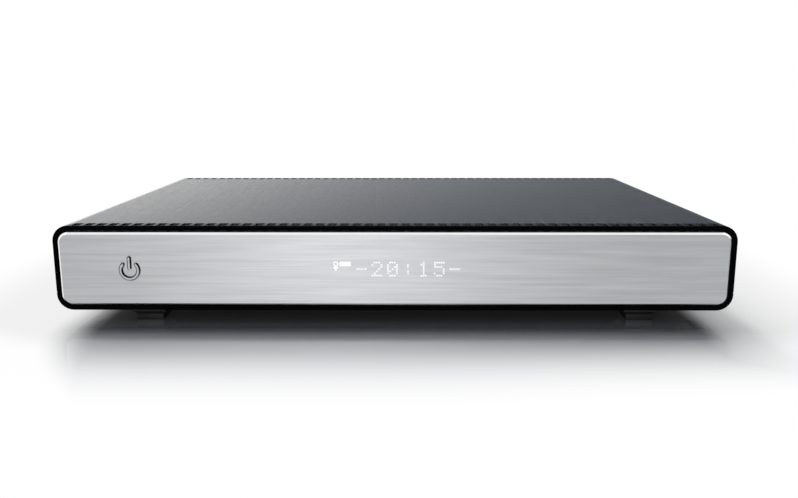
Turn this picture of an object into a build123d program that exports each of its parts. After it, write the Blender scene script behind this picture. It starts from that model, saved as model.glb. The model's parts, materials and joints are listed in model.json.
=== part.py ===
from build123d import *
import os
from math import cos, radians, sin

# Satellite television receiver: a flat box, a moulded top cover over a shallow bottom tray,
# a brushed front panel with one power key and a display behind it, and the sockets at the back.
# X runs to the right, Y to the back and Z up. The origin lies on the table under the middle
# of the whole box, front panel and aerial connectors included. All sizes are in millimetres.

# ---------------------------------------------------------------- shell
shell_width = 320.0
shell_depth = 205.6
shell_height = 40.7
corner_radius = 7.6  # the four long edges of the shell
wall = 2.5
edge_rounding = 0.5  # outer edges at the front and back openings
seam_height = 8.5  # joint between cover and tray, above the underside
seam_chamfer = 0.7  # on the cover's lower edge, so that the joint reads as a groove
tongue_height = 1.8  # the tray's tongue inside the cover's rebate
tongue_thickness = 1.1
tongue_gap = 0.15
cover_rib_spacing = 74.0  # stiffening ribs under the top
cover_rib_width = 1.4
cover_rib_drop = 2.4

# ---------------------------------------------------------------- ventilation
slot_width = 3.9  # combs of slots along the front and back edges of the top
slot_length = 6.8
slot_pitch = 5.73
slot_setback = 0.6
slot_relief = 1.0  # how far the slots cut on into the lugs below them
slot_margin = 1.2  # plain strip between the last slot and the rounded edge
floor_vent_width = 2.6
floor_vent_length = 34.0
floor_vent_pitch = 7.2
floor_vent_count = 9
floor_vent_spacing = 120.0
floor_vent_setback = 120.0
rear_vent_width = 2.2
rear_vent_length = 13.0
rear_vent_pitch = 4.4
rear_vent_count = 7
rear_vent_x = 107.0
rear_vent_rise = 4.0  # centre of the slots above the middle of the shell

# ---------------------------------------------------------------- feet
foot_height = 5.8
foot_width = 16.0
foot_depth = 16.0
foot_pad_height = 2.9  # straight pad at the bottom of a foot
foot_flare = 1.6  # the foot widens above the pad, at 45 degrees
foot_inset = 42.5  # centre of a foot to the side of the shell
front_foot_setback = 2.8
rear_foot_setback = 18.0
foot_plug_radius = 2.6
foot_plug_gap = 0.1

# ---------------------------------------------------------------- front panel and carrier
panel_gap = 0.25
panel_top_gap = 0.65
panel_proud = 0.9
panel_thickness = 2.0
panel_chamfer = 0.9
carrier_thickness = 2.0
carrier_rim_width = 1.6
carrier_rim_depth = 4.0
hook_thickness = 1.6
hook_play = 0.2
top_hook_width = 8.0
top_hook_spacing = 106.0
top_catch_setback = 9.6
top_catch_width = 12.0
top_catch_thickness = 1.4
top_catch_drop = 2.0
floor_hook_width = 4.3
floor_hook_inset = 10.85  # centre of the floor hook to the outside of the shell
floor_window_width = 4.7
floor_window_start = 8.7
floor_window_length = 14.7
hook_nose = 2.4
floor_hook_drop = 1.5

# ---------------------------------------------------------------- power key and its switch
symbol_inset = 35.9  # centre of the ring to the side of the shell
symbol_height = 19.7  # centre of the ring above the underside
symbol_radius = 4.12  # middle of the ring's stroke
symbol_stroke = 0.95
symbol_gap_angle = 49.0  # half of the ring's opening at the top, to the ends of its middle line
symbol_bar_start = 0.775  # ends of the bar's middle line
symbol_bar_end = 5.795
symbol_clearance = 0.6
symbol_rounding = 0.2
key_proud = 0.9
key_travel = 0.5
key_front_gap = 0.2
key_radius = 7.4
key_guide_gap = 0.3
key_skirt_depth = 4.2
key_face_thickness = 1.4
key_skirt_thickness = 1.1
key_guide_wall = 1.4
key_guide_depth = 3.6
key_stem_radius = 1.9
key_play = 0.1
tact_size = 6.0
tact_height = 3.5
tact_plunger_radius = 1.75
tact_plunger_reach = 1.5
tact_plunger_seat = 0.6
tact_bore_gap = 0.08
tact_bore_play = 0.5  # left below the plunger when it is pressed
led_width = 1.6
led_length = 3.2
led_height = 1.1
led_spacing = 11.4

# ---------------------------------------------------------------- front board and display
front_board_inset = 20.0  # left end to the side of the shell
front_board_right = 48.0
front_board_height = 24.0
front_board_thickness = 1.6
front_boss_height = 8.0
front_boss_radius = 2.6
front_boss_inset = 3.4
front_screw_radius = 1.0
display_x = 0.6
display_centre_height = 20.2
display_width = 66.0
display_height = 15.0
display_gap = 0.3
diffuser_thickness = 1.2
ir_x = 39.0
ir_width = 5.6
ir_height = 7.0
ir_depth = 4.0
ir_lens_radius = 2.4
ir_window_gap = 0.5

# ---------------------------------------------------------------- main board
board_inset = 24.0  # left edge to the side of the shell
board_side_gap = 16.0  # board's right edge to the inside of the cover
board_front_margin = 10.4  # front edge to the module cage
board_thickness = 1.6
board_rear_gap = 0.5
standoff_height = 4.5
standoff_radius = 3.3
board_hole_inset = 6.0
board_screw_radius = 1.4
board_hole_gap = 0.25
screw_gap = 0.05
screw_head_radius = 2.8
screw_head_height = 1.8
screw_length = 5.2
processor_x = -6.0
processor_setback = 97.6  # the board's pieces are set from the back
processor_size = 27.0
processor_height = 2.0
pad_size = 24.0
pad_thickness = 1.0
sink_width = 52.0
sink_depth = 48.0
sink_base = 3.0
sink_fin_height = 11.0
sink_fin_thickness = 1.4
sink_fin_count = 10
sink_pin_radius = 1.5
sink_pin_head = 2.8
sink_pin_gap = 0.1
sink_pin_inset = 3.2
memory_width = 9.0
memory_depth = 13.2
memory_height = 1.1
memory_pitch = 17.0
memory_x = 38.0
capacitor_radius = 4.0
capacitor_height = 11.5
capacitor_pitch = 11.0
capacitor_x = -96.0
capacitor_setback = 53.6
inductor_size = 9.0
inductor_height = 4.2
inductor_corner = 1.4
inductor_pitch = 13.0
inductor_setback = 73.6

# ---------------------------------------------------------------- ribbon between the boards
ribbon_x = -62.0
ribbon_width = 20.0
ribbon_thickness = 0.6
ribbon_height = 20.0  # above the underside, at the front board
ribbon_bend = 9.0
header_depth = 5.0
header_height = 5.0
header_wall = 2.0  # beside the ribbon
header_inset = 5.0
header_slot_depth = 2.0
header_slot_gap = 0.1
ribbon_lead = 12.0

# ---------------------------------------------------------------- card slots in the right side
slot_opening_gap = 0.15
cage_wall_gap = 0.4  # cage mouth to the inside of the cover
cage_depth = 56.0
cage_outer_width = 59.0
cage_sheet = 0.8
cage_foot = 3.0
cage_window_width = 34.0
cage_window_depth = 30.0
module_width = 54.6
module_height = 5.8
module_floor = 2.2
cage_gap = 1.0  # between the card reader and the cage
header_block_depth = 6.0
module_pin_count = 17
module_pin_pitch = 2.54
module_pin_size = 0.6
module_pin_reach = 5.0
module_pin_rows = 2.4
card_width = 55.0
card_height = 1.8
card_floor = 2.5
card_setback = 51.6
reader_height = 5.4
reader_depth = 46.0
reader_side = 2.0
reader_slot_depth = 40.0

# ---------------------------------------------------------------- rear panel and sockets
rear_thickness = 1.0
cutout_gap = 0.3
socket_proud = 0.5
lug_width = 9.0
lug_height = 7.5
lug_depth = 9.0
lug_inset = 12.0  # centre of an outer lug to the side of the shell
connector_length = 11.0  # aerial connectors, beyond the rear panel
connector_radius = 4.76
connector_shank_radius = 5.3  # through the walls and the nut
connector_bore = 3.3
connector_bore_depth = 6.0
connector_contact_radius = 0.6
connector_x = 69.0
connector_spacing = 22.0
connector_height = 9.0  # axis above the board
connector_nut_flats = 12.7
connector_nut_height = 2.4
connector_flange_height = 2.0
connector_face_recess = 1.0
nut_gap = 0.06
tuner_width = 46.0
tuner_depth = 32.0
tuner_height = 17.6
tuner_sheet = 0.8
optical_x = 26.0
optical_size = 9.8
optical_depth = 13.6
optical_bore = 8.0
optical_bore_depth = 9.6
shutter_gap = 0.2
shutter_thickness = 0.9
shutter_setback = 1.3
shutter_pin_radius = 0.5
shutter_pin_reach = 0.6
shutter_pin_gap = 0.05
shutter_pin_play = 0.1
hdmi_inset = 147.0  # middles of this group to the left side of the shell
hdmi_width = 15.0
hdmi_height = 6.0
hdmi_depth = 11.6
hdmi_sheet = 0.6
hdmi_lower_chamfer = 1.5
hdmi_bore_depth = 9.2
hdmi_tongue_width = 11.0
hdmi_tongue_height = 1.3
hdmi_tongue_reach = 7.6
lan_inset = 124.0
lan_width = 16.0
lan_height = 13.6
lan_depth = 21.0
lan_bore_width = 11.9
lan_bore_height = 7.4
lan_bore_floor = 2.0
lan_bore_depth = 14.0
lan_latch_width = 6.2
lan_latch_height = 1.8
lan_contact_count = 8
lan_contact_pitch = 1.02
lan_contact_size = 0.4
lan_contact_drop = 1.5
lan_contact_reach = 8.0
usb_inset = 101.0
usb_width = 13.4
usb_height = 15.8
usb_depth = 17.6
usb_bore_width = 12.4
usb_bore_height = 5.0
usb_bore_depth = 11.0
usb_bore_pitch = 7.9
usb_tongue_width = 11.0
usb_tongue_height = 1.8
usb_tongue_reach = 9.4
usb_tongue_rise = 0.9
power_inset = 76.0
power_width = 9.0
power_height = 11.0
power_depth = 14.4
power_bore_radius = 2.95
power_bore_depth = 10.0
power_pin_radius = 1.05
power_pin_reach = 8.8
switch_inset = 51.0
switch_width = 19.0
switch_height = 12.6
switch_depth = 15.0
switch_bezel_overhang = 1.1
switch_bezel_thickness = 1.6
switch_well_width = 16.6
switch_well_height = 9.8
switch_well_depth = 9.0
rocker_gap = 0.3
rocker_throw = 15.0  # whole swing, from one stop to the other
rocker_crown = 5.0  # ridge in the middle of the rocker, beyond its pivot
rocker_pivot_depth = 3.4
rocker_keel = 2.6
rocker_pin_radius = 1.0
rocker_pin_reach = 0.8
rocker_pin_gap = 0.05
rocker_pin_play = 0.1

# ---------------------------------------------------------------- places worked out from the sizes
inner_width = shell_width - 2 * wall
inner_height = shell_height - 2 * wall
inner_radius = corner_radius - wall
shell_bottom = foot_height
shell_top = shell_bottom + shell_height
shell_middle = shell_bottom + shell_height / 2
floor_top = shell_bottom + wall
ceiling = shell_top - wall
seam = shell_bottom + seam_height
overall_depth = key_proud + panel_proud + shell_depth + connector_length
front = key_proud + panel_proud - overall_depth / 2
back = front + shell_depth

panel_width = inner_width - 2 * panel_gap
panel_height = inner_height - panel_gap - panel_top_gap
panel_middle = shell_middle + (panel_gap - panel_top_gap) / 2
carrier_height = inner_height - 2 * panel_gap
panel_radius = inner_radius - panel_gap
panel_face = front - panel_proud
panel_rear = panel_face + panel_thickness
carrier_rear = panel_rear + carrier_thickness
front_board_face = carrier_rear + front_boss_height
front_board_rear = front_board_face + front_board_thickness
front_board_left = front_board_inset - shell_width / 2
front_board_length = front_board_right - front_board_left
front_board_x = (front_board_left + front_board_right) / 2
display_z = shell_bottom + display_centre_height
symbol_x = symbol_inset - shell_width / 2
symbol_z = shell_bottom + symbol_height

slot_room = shell_width - 2 * corner_radius - 2 * slot_margin
slot_count = int((slot_room - slot_width) / slot_pitch) + 1
front_slot_y = front + slot_setback + slot_length / 2
rear_slot_y = back - slot_setback - slot_length / 2

board_bottom = floor_top + standoff_height
board_top = board_bottom + board_thickness
board_right = inner_width / 2 - board_side_gap
board_left = board_inset - shell_width / 2
board_width = board_right - board_left
board_x = (board_left + board_right) / 2
rear_inside = back - rear_thickness
board_back = rear_inside - board_rear_gap
card_y = back - card_setback
reader_width = card_width + 2 * reader_side
module_y = card_y - reader_width / 2 - cage_gap - cage_outer_width / 2
board_front = module_y - cage_outer_width / 2 - board_front_margin
board_depth = board_back - board_front
board_y = (board_front + board_back) / 2
hdmi_x = hdmi_inset - shell_width / 2
lan_x = lan_inset - shell_width / 2
usb_x = usb_inset - shell_width / 2
power_x = power_inset - shell_width / 2
switch_x = switch_inset - shell_width / 2
middle_hole_x = (hdmi_x + optical_x) / 2
board_holes = [
    (hole_x, hole_y)
    for hole_x in (board_left + board_hole_inset, middle_hole_x, board_right - board_hole_inset)
    for hole_y in (board_front + board_hole_inset, board_back - board_hole_inset)
]
socket_face = back + socket_proud
lug_spacing = shell_width / 2 - lug_inset
screw_hole_radius = board_screw_radius + screw_gap

cage_mouth = inner_width / 2 - cage_wall_gap
module_z = board_top + module_floor + module_height / 2
card_z = board_top + card_floor + card_height / 2
lug_top_z = ceiling - lug_height / 2
lug_floor_z = floor_top + lug_height / 2
connector_z = board_top + connector_height
tuner_back = rear_inside
switch_z = board_top + switch_height / 2
rocker_pivot_y = back + switch_bezel_thickness - rocker_pivot_depth
shutter_y = socket_face - shutter_setback
shutter_z = board_top + optical_size / 2 + optical_bore / 2 - shutter_gap - shutter_thickness / 2

floor_hook_x = shell_width / 2 - floor_hook_inset
foot_spacing = shell_width - 2 * foot_inset
front_foot_y = front + front_foot_setback + foot_depth / 2
rear_foot_y = back - rear_foot_setback - foot_depth / 2
key_face = panel_rear + key_front_gap
tact_face = front_board_face - tact_height
tact_bore_depth = tact_plunger_seat + key_travel + tact_bore_play
plunger_face = tact_face - tact_plunger_reach
stem_end = plunger_face - key_play
front_hole_pitch_x = front_board_length / 2 - front_boss_inset
front_hole_pitch_z = front_board_height - 2 * front_boss_inset
processor_y = back - processor_setback
pad_bottom = board_top + processor_height
sink_bottom = pad_bottom + pad_thickness
ribbon_start_z = shell_bottom + ribbon_height
header_width = ribbon_width + 2 * header_wall
ribbon_end_z = board_top + header_height / 2
main_header_y = board_front + header_inset
cage_start = cage_mouth - cage_depth
cage_height = module_floor + module_height + slot_opening_gap + cage_sheet
reader_start = cage_mouth - reader_depth
optical_z = board_top + optical_size / 2
usb_z = board_top + usb_height / 2
power_z = board_top + power_height / 2

LOW = (Align.CENTER, Align.MIN)
HIGH = (Align.CENTER, Align.MAX)


def upright(y: float) -> Plane:
    """Plane across the box at y. Its sketches read in X and Z, and it looks to the front."""
    return Plane(origin=(0, y, 0), x_dir=(1, 0, 0), z_dir=(0, -1, 0))


def sideways(x: float) -> Plane:
    """Plane along the box at x. Its sketches read in Y and Z, and it looks to the right."""
    return Plane(origin=(x, 0, 0), x_dir=(0, 1, 0), z_dir=(1, 0, 0))


def standby_symbol(growth: float) -> None:
    """Draw the open ring and its bar in the current sketch, grown all round by growth."""
    half = symbol_stroke / 2 + growth
    outer = symbol_radius + half
    end_x = sin(radians(symbol_gap_angle))
    end_z = cos(radians(symbol_gap_angle))
    reach = 2 * outer
    Circle(outer)
    Circle(symbol_radius - half, mode=Mode.SUBTRACT)
    Polygon(
        (0, 0),
        (reach * end_x, reach * end_z),
        (-reach * end_x, reach * end_z),
        align=None,
        mode=Mode.SUBTRACT,
    )
    with Locations((0, symbol_radius * end_z)):
        with GridLocations(2 * symbol_radius * end_x, 0, 2, 1):
            Circle(half)
    with Locations((0, (symbol_bar_start + symbol_bar_end) / 2)):
        SlotCenterToCenter(symbol_bar_end - symbol_bar_start, 2 * half, rotation=90)


def shell_section() -> None:
    """Draw the closed ring of the shell's wall in the current sketch."""
    with Locations((0, shell_middle)):
        RectangleRounded(shell_width, shell_height, corner_radius)
        RectangleRounded(inner_width, inner_height, inner_radius, mode=Mode.SUBTRACT)


def outside_rim(edge: Edge) -> bool:
    """Tell whether an edge lies on the shell's outer outline and not on its inner one."""
    centre = edge.center()
    beside = abs(centre.X) > inner_width / 2 + wall / 4
    above = centre.Z > ceiling + wall / 4
    below = centre.Z < floor_top - wall / 4
    return beside or above or below


# ================================================================ shell
# Top cover: top and sides in one moulding, open to the front, the back and below. A comb of
# slots runs along both its edges, and the right side has the mouths of the two card slots.
with BuildPart() as top_cover:
    with BuildSketch(upright(front)):
        shell_section()
        with Locations((0, shell_bottom)):
            Rectangle(shell_width, seam_height, align=LOW, mode=Mode.SUBTRACT)
        with Locations((0, seam)):
            rebate_width = inner_width + 2 * (tongue_thickness + tongue_gap)
            Rectangle(rebate_width, tongue_height + tongue_gap, align=LOW, mode=Mode.SUBTRACT)
    extrude(amount=-shell_depth)
    for opening in (Axis.Y, -Axis.Y):
        rim_edges = top_cover.faces().sort_by(opening)[0].edges().filter_by(outside_rim)
        fillet(rim_edges, edge_rounding)
    with BuildSketch(upright(front)):
        for side in (-1, 1):
            Polygon(
                (side * shell_width / 2, seam),
                (side * (shell_width / 2 - seam_chamfer), seam),
                (side * shell_width / 2, seam + seam_chamfer),
                align=None,
            )
    extrude(amount=-shell_depth, mode=Mode.SUBTRACT)
    with BuildSketch(Plane.XY.offset(ceiling)):
        rib_length = shell_depth - 4 * (slot_setback + slot_length)
        with Locations((0, (front + back) / 2)):
            with GridLocations(cover_rib_spacing, 0, 3, 1):
                Rectangle(cover_rib_width, rib_length)
    extrude(amount=-cover_rib_drop)
    with BuildSketch(Plane.XY.offset(ceiling)):
        with Locations((0, front + top_catch_setback)):
            with GridLocations(top_hook_spacing, 0, 3, 1):
                Rectangle(top_catch_width, top_catch_thickness, align=LOW)
    extrude(amount=-top_catch_drop)
    with BuildSketch(upright(rear_inside)):
        with Locations((0, ceiling)):
            with GridLocations(lug_spacing, 0, 3, 1):
                Rectangle(lug_width, lug_height, align=HIGH)
    extrude(amount=lug_depth)
    with BuildSketch(upright(rear_inside)):
        with Locations((0, lug_top_z)):
            with GridLocations(lug_spacing, 0, 3, 1):
                Circle(screw_hole_radius)
    extrude(amount=lug_depth, mode=Mode.SUBTRACT)
    with BuildSketch(Plane.XY.offset(shell_top)):
        with Locations((0, front_slot_y), (0, rear_slot_y)):
            with GridLocations(slot_pitch, 0, slot_count, 1):
                Rectangle(slot_width, slot_length)
    extrude(amount=-(wall + slot_relief), mode=Mode.SUBTRACT)
    with BuildSketch(sideways(inner_width / 2)):
        with Locations((module_y, module_z)):
            Rectangle(module_width, module_height)
        with Locations((card_y, card_z)):
            Rectangle(card_width, card_height)
    extrude(amount=wall, mode=Mode.SUBTRACT)

# Bottom tray: floor and low sides, with the tongue that the cover slips over, the posts under
# the main board, the lugs for the rear panel's screws and the windows for the carrier's hooks.
with BuildPart() as bottom_tray:
    with BuildSketch(upright(front)):
        shell_section()
        with Locations((0, seam)):
            Rectangle(shell_width, shell_height, align=LOW, mode=Mode.SUBTRACT)
        for side in (-1, 1):
            with Locations((side * (inner_width + tongue_thickness) / 2, seam)):
                Rectangle(tongue_thickness, tongue_height, align=LOW)
    extrude(amount=-shell_depth)
    for opening in (Axis.Y, -Axis.Y):
        rim_edges = bottom_tray.faces().sort_by(opening)[0].edges().filter_by(outside_rim)
        fillet(rim_edges, edge_rounding)
    with BuildSketch(Plane.XY.offset(floor_top)):
        with Locations(*board_holes):
            Circle(standoff_radius)
    extrude(amount=standoff_height)
    with BuildSketch(Plane.XY.offset(board_bottom)):
        with Locations(*board_holes):
            Circle(screw_hole_radius)
    extrude(amount=-standoff_height, mode=Mode.SUBTRACT)
    with BuildSketch(upright(rear_inside)):
        with Locations((0, floor_top)):
            with GridLocations(2 * lug_spacing, 0, 2, 1):
                Rectangle(lug_width, lug_height, align=LOW)
    extrude(amount=lug_depth)
    with BuildSketch(upright(rear_inside)):
        with Locations((0, lug_floor_z)):
            with GridLocations(2 * lug_spacing, 0, 2, 1):
                Circle(screw_hole_radius)
    extrude(amount=lug_depth, mode=Mode.SUBTRACT)
    with BuildSketch(Plane.XY.offset(floor_top)):
        with Locations((0, front + floor_window_start)):
            with GridLocations(2 * floor_hook_x, 0, 2, 1):
                Rectangle(floor_window_width, floor_window_length, align=LOW)
        with Locations((0, front_foot_y), (0, rear_foot_y)):
            with GridLocations(foot_spacing, 0, 2, 1):
                Circle(foot_plug_radius + foot_plug_gap)
        with Locations((0, front + floor_vent_setback)):
            with GridLocations(floor_vent_spacing, 0, 2, 1):
                with GridLocations(floor_vent_pitch, 0, floor_vent_count, 1):
                    Rectangle(floor_vent_width, floor_vent_length)
    extrude(amount=-wall, mode=Mode.SUBTRACT)


# ================================================================ feet
def make_foot(x: float, y: float) -> BuildPart:
    """Build one rubber foot: a pad, its flared top and the plug that the tray's hole holds."""
    flare_top = foot_pad_height + foot_flare
    with BuildPart() as foot:
        with BuildSketch(Plane.XY):
            with Locations((x, y)):
                Rectangle(foot_width - 2 * foot_flare, foot_depth - 2 * foot_flare)
        extrude(amount=foot_pad_height)
        with BuildSketch(Plane.XY.offset(foot_pad_height)):
            with Locations((x, y)):
                Rectangle(foot_width - 2 * foot_flare, foot_depth - 2 * foot_flare)
        with BuildSketch(Plane.XY.offset(flare_top)):
            with Locations((x, y)):
                Rectangle(foot_width, foot_depth)
        loft()
        with BuildSketch(Plane.XY.offset(flare_top)):
            with Locations((x, y)):
                Rectangle(foot_width, foot_depth)
        extrude(amount=foot_height - flare_top)
        with BuildSketch(Plane.XY.offset(foot_height)):
            with Locations((x, y)):
                Circle(foot_plug_radius)
        extrude(amount=wall)
    return foot


feet = {}
for row_name, foot_y in (("front", front_foot_y), ("rear", rear_foot_y)):
    for side_name, side in (("left", -1), ("right", 1)):
        feet[f"foot_{row_name}_{side_name}"] = make_foot(side * foot_spacing / 2, foot_y)

# ================================================================ front assembly
# Front panel: a flat plate with a bright chamfer all round, standing a little proud of the
# shell, with the symbol's cut-out for the nose of the power key.
with BuildPart() as front_panel:
    with BuildSketch(upright(panel_face)):
        with Locations((0, panel_middle)):
            RectangleRounded(panel_width, panel_height, panel_radius)
    extrude(amount=-panel_thickness)
    chamfer(front_panel.faces().sort_by(Axis.Y)[0].edges(), panel_chamfer)
    with BuildSketch(upright(panel_face)):
        with Locations((symbol_x, symbol_z)):
            standby_symbol(symbol_clearance)
    extrude(amount=-panel_thickness, mode=Mode.SUBTRACT)

# Front carrier: the black frame behind the panel. It holds the display, guides the power key,
# carries the front board on bosses and hooks into the cover's catches and the tray's windows.
with BuildPart() as front_carrier:
    with BuildSketch(upright(panel_rear)):
        with Locations((0, shell_middle)):
            RectangleRounded(panel_width, carrier_height, panel_radius)
    extrude(amount=-carrier_thickness)
    with BuildSketch(upright(carrier_rear)):
        with Locations((0, shell_middle)):
            RectangleRounded(panel_width, carrier_height, panel_radius)
            RectangleRounded(
                panel_width - 2 * carrier_rim_width,
                carrier_height - 2 * carrier_rim_width,
                panel_radius - carrier_rim_width,
                mode=Mode.SUBTRACT,
            )
        # The rim is open above, so that the front comb of slots can breathe.
        with Locations((0, shell_middle + carrier_height / 2)):
            open_width = panel_width - 2 * panel_radius
            Rectangle(open_width, carrier_rim_width, align=HIGH, mode=Mode.SUBTRACT)
    extrude(amount=-carrier_rim_depth)
    with BuildSketch(upright(carrier_rear)):
        with Locations((symbol_x, symbol_z)):
            Circle(key_radius + key_guide_gap + key_guide_wall)
    extrude(amount=-key_guide_depth)
    with BuildSketch(upright(carrier_rear)):
        with Locations((front_board_x, display_z)):
            with GridLocations(front_hole_pitch_x, front_hole_pitch_z, 3, 2):
                Circle(front_boss_radius)
    extrude(amount=-front_boss_height)
    with BuildSketch(upright(front_board_face)):
        with Locations((front_board_x, display_z)):
            with GridLocations(front_hole_pitch_x, front_hole_pitch_z, 3, 2):
                Circle(front_screw_radius + screw_gap)
    extrude(amount=front_boss_height, mode=Mode.SUBTRACT)
    with BuildSketch(upright(panel_rear)):
        with Locations((display_x, display_z)):
            Rectangle(display_width + 2 * display_gap, display_height + 2 * display_gap)
        with Locations((symbol_x, symbol_z)):
            Circle(key_radius + key_guide_gap)
        with Locations((ir_x, display_z)):
            Circle(ir_lens_radius + ir_window_gap)
    extrude(amount=-(carrier_thickness + key_guide_depth), mode=Mode.SUBTRACT)
    # Hooks above, with their noses behind the cover's catches.
    catch_back = front + top_catch_setback + top_catch_thickness + hook_play
    arm_top = ceiling - top_catch_drop - hook_play
    for hook_index in (-1, 0, 1):
        with BuildSketch(sideways(hook_index * top_hook_spacing - top_hook_width / 2)):
            Polygon(
                (carrier_rear, arm_top - hook_thickness),
                (catch_back + hook_nose, arm_top - hook_thickness),
                (catch_back + hook_nose, arm_top),
                (catch_back + hook_play, ceiling - hook_play),
                (catch_back, ceiling - hook_play),
                (catch_back, arm_top),
                (carrier_rear, arm_top),
                align=None,
            )
        extrude(amount=top_hook_width)
    # Hooks below, with their noses in the tray's windows.
    arm_bottom = floor_top + panel_gap
    window_front = front + floor_window_start + hook_play
    for side in (-1, 1):
        with BuildSketch(sideways(side * floor_hook_x - floor_hook_width / 2)):
            Polygon(
                (carrier_rear, arm_bottom + hook_thickness),
                (window_front + hook_nose, arm_bottom + hook_thickness),
                (window_front + hook_nose, arm_bottom),
                (window_front + hook_play, floor_top - floor_hook_drop),
                (window_front, floor_top - floor_hook_drop),
                (window_front, arm_bottom),
                (carrier_rear, arm_bottom),
                align=None,
            )
        extrude(amount=floor_hook_width)

# Power key: a round cap sliding in the carrier's guide. Its nose is the standby symbol, which
# comes through the panel, and its stem presses the switch on the front board.
with BuildPart() as power_key:
    with BuildSketch(upright(key_face)):
        with Locations((symbol_x, symbol_z)):
            Circle(key_radius)
    extrude(amount=-key_skirt_depth)
    with BuildSketch(upright(key_face + key_skirt_depth)):
        with Locations((symbol_x, symbol_z)):
            Circle(key_radius - key_skirt_thickness)
    extrude(amount=key_skirt_depth - key_face_thickness, mode=Mode.SUBTRACT)
    with BuildSketch(upright(stem_end)):
        with Locations((symbol_x, symbol_z)):
            Circle(key_stem_radius)
    extrude(amount=stem_end - key_face - key_face_thickness)
    with BuildSketch(upright(key_face)):
        with Locations((symbol_x, symbol_z)):
            standby_symbol(0)
    extrude(amount=key_front_gap + panel_thickness + key_proud)
    fillet(power_key.faces().group_by(Axis.Y)[0].edges(), symbol_rounding)

with BuildPart() as front_board:
    with BuildSketch(upright(front_board_face)):
        with Locations((front_board_x, display_z)):
            Rectangle(front_board_length, front_board_height)
            with GridLocations(front_hole_pitch_x, front_hole_pitch_z, 3, 2):
                Circle(front_screw_radius + board_hole_gap, mode=Mode.SUBTRACT)
    extrude(amount=-front_board_thickness)

with BuildPart() as front_board_screws:
    with BuildSketch(upright(front_board_rear)):
        with Locations((front_board_x, display_z)):
            with GridLocations(front_hole_pitch_x, front_hole_pitch_z, 3, 2):
                Circle(front_screw_radius)
    extrude(amount=front_board_thickness + screw_length)
    with BuildSketch(upright(front_board_rear)):
        with Locations((front_board_x, display_z)):
            with GridLocations(front_hole_pitch_x, front_hole_pitch_z, 3, 2):
                Circle(2 * front_screw_radius)
    extrude(amount=-screw_head_height / 2)

with BuildPart() as display_module:
    with BuildSketch(upright(panel_rear + diffuser_thickness)):
        with Locations((display_x, display_z)):
            Rectangle(display_width, display_height)
    extrude(amount=-(front_board_face - panel_rear - diffuser_thickness))

with BuildPart() as display_diffuser:
    with BuildSketch(upright(panel_rear)):
        with Locations((display_x, display_z)):
            Rectangle(display_width, display_height)
    extrude(amount=-diffuser_thickness)

with BuildPart() as ir_receiver:
    with BuildSketch(upright(front_board_face)):
        with Locations((ir_x, display_z)):
            Rectangle(ir_width, ir_height)
    extrude(amount=ir_depth)
    with Locations((ir_x, front_board_face - ir_depth, display_z)):
        Sphere(ir_lens_radius)

with BuildPart() as tact_switch:
    with BuildSketch(upright(front_board_face)):
        with Locations((symbol_x, symbol_z)):
            Rectangle(tact_size, tact_size)
    extrude(amount=tact_height)
    with BuildSketch(upright(tact_face)):
        with Locations((symbol_x, symbol_z)):
            Circle(tact_plunger_radius + tact_bore_gap)
    extrude(amount=-tact_bore_depth, mode=Mode.SUBTRACT)

with BuildPart() as tact_plunger:
    with BuildSketch(upright(plunger_face)):
        with Locations((symbol_x, symbol_z)):
            Circle(tact_plunger_radius)
    extrude(amount=-(tact_plunger_reach + tact_plunger_seat))

with BuildPart() as status_leds:
    with BuildSketch(upright(front_board_face)):
        with Locations((symbol_x, symbol_z)):
            with GridLocations(led_spacing, 0, 2, 1):
                Rectangle(led_width, led_length)
    extrude(amount=led_height)

# ================================================================ ribbon and its headers
with BuildPart() as front_header:
    with BuildSketch(upright(front_board_rear)):
        with Locations((ribbon_x, ribbon_start_z)):
            Rectangle(header_width, header_height)
    extrude(amount=-header_depth)
    with BuildSketch(upright(front_board_rear + header_depth)):
        with Locations((ribbon_x, ribbon_start_z)):
            Rectangle(ribbon_width + 2 * header_slot_gap, ribbon_thickness + 2 * header_slot_gap)
    extrude(amount=header_slot_depth, mode=Mode.SUBTRACT)

with BuildPart() as main_header:
    with BuildSketch(upright(main_header_y)):
        with Locations((ribbon_x, ribbon_end_z)):
            Rectangle(header_width, header_height)
    extrude(amount=-header_depth)
    with BuildSketch(upright(main_header_y)):
        with Locations((ribbon_x, ribbon_end_z)):
            Rectangle(ribbon_width + 2 * header_slot_gap, ribbon_thickness + 2 * header_slot_gap)
    extrude(amount=-header_slot_depth, mode=Mode.SUBTRACT)

with BuildPart() as ribbon_cable:
    ribbon_start = front_board_rear + header_depth - header_slot_depth
    ribbon_end = main_header_y + header_slot_depth
    with BuildLine(sideways(ribbon_x)) as ribbon_route:
        FilletPolyline(
            (ribbon_start, ribbon_start_z),
            (ribbon_start + ribbon_lead, ribbon_start_z),
            (ribbon_end - ribbon_lead, ribbon_end_z),
            (ribbon_end, ribbon_end_z),
            radius=ribbon_bend,
        )
    with BuildSketch(upright(ribbon_start)):
        with Locations((ribbon_x, ribbon_start_z)):
            Rectangle(ribbon_width, ribbon_thickness)
    sweep()

# ================================================================ main board and what it carries
with BuildPart() as main_board:
    with BuildSketch(Plane.XY.offset(board_bottom)):
        with Locations((board_x, board_y)):
            Rectangle(board_width, board_depth)
        with Locations(*board_holes):
            Circle(board_screw_radius + board_hole_gap, mode=Mode.SUBTRACT)
        with Locations((processor_x, processor_y)):
            for side in (-1, 1):
                pin_x = side * (sink_width / 2 - sink_pin_inset)
                pin_y = side * (sink_depth / 2 - sink_pin_inset)
                with Locations((pin_x, pin_y)):
                    Circle(sink_pin_radius + sink_pin_gap, mode=Mode.SUBTRACT)
    extrude(amount=board_thickness)

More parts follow.
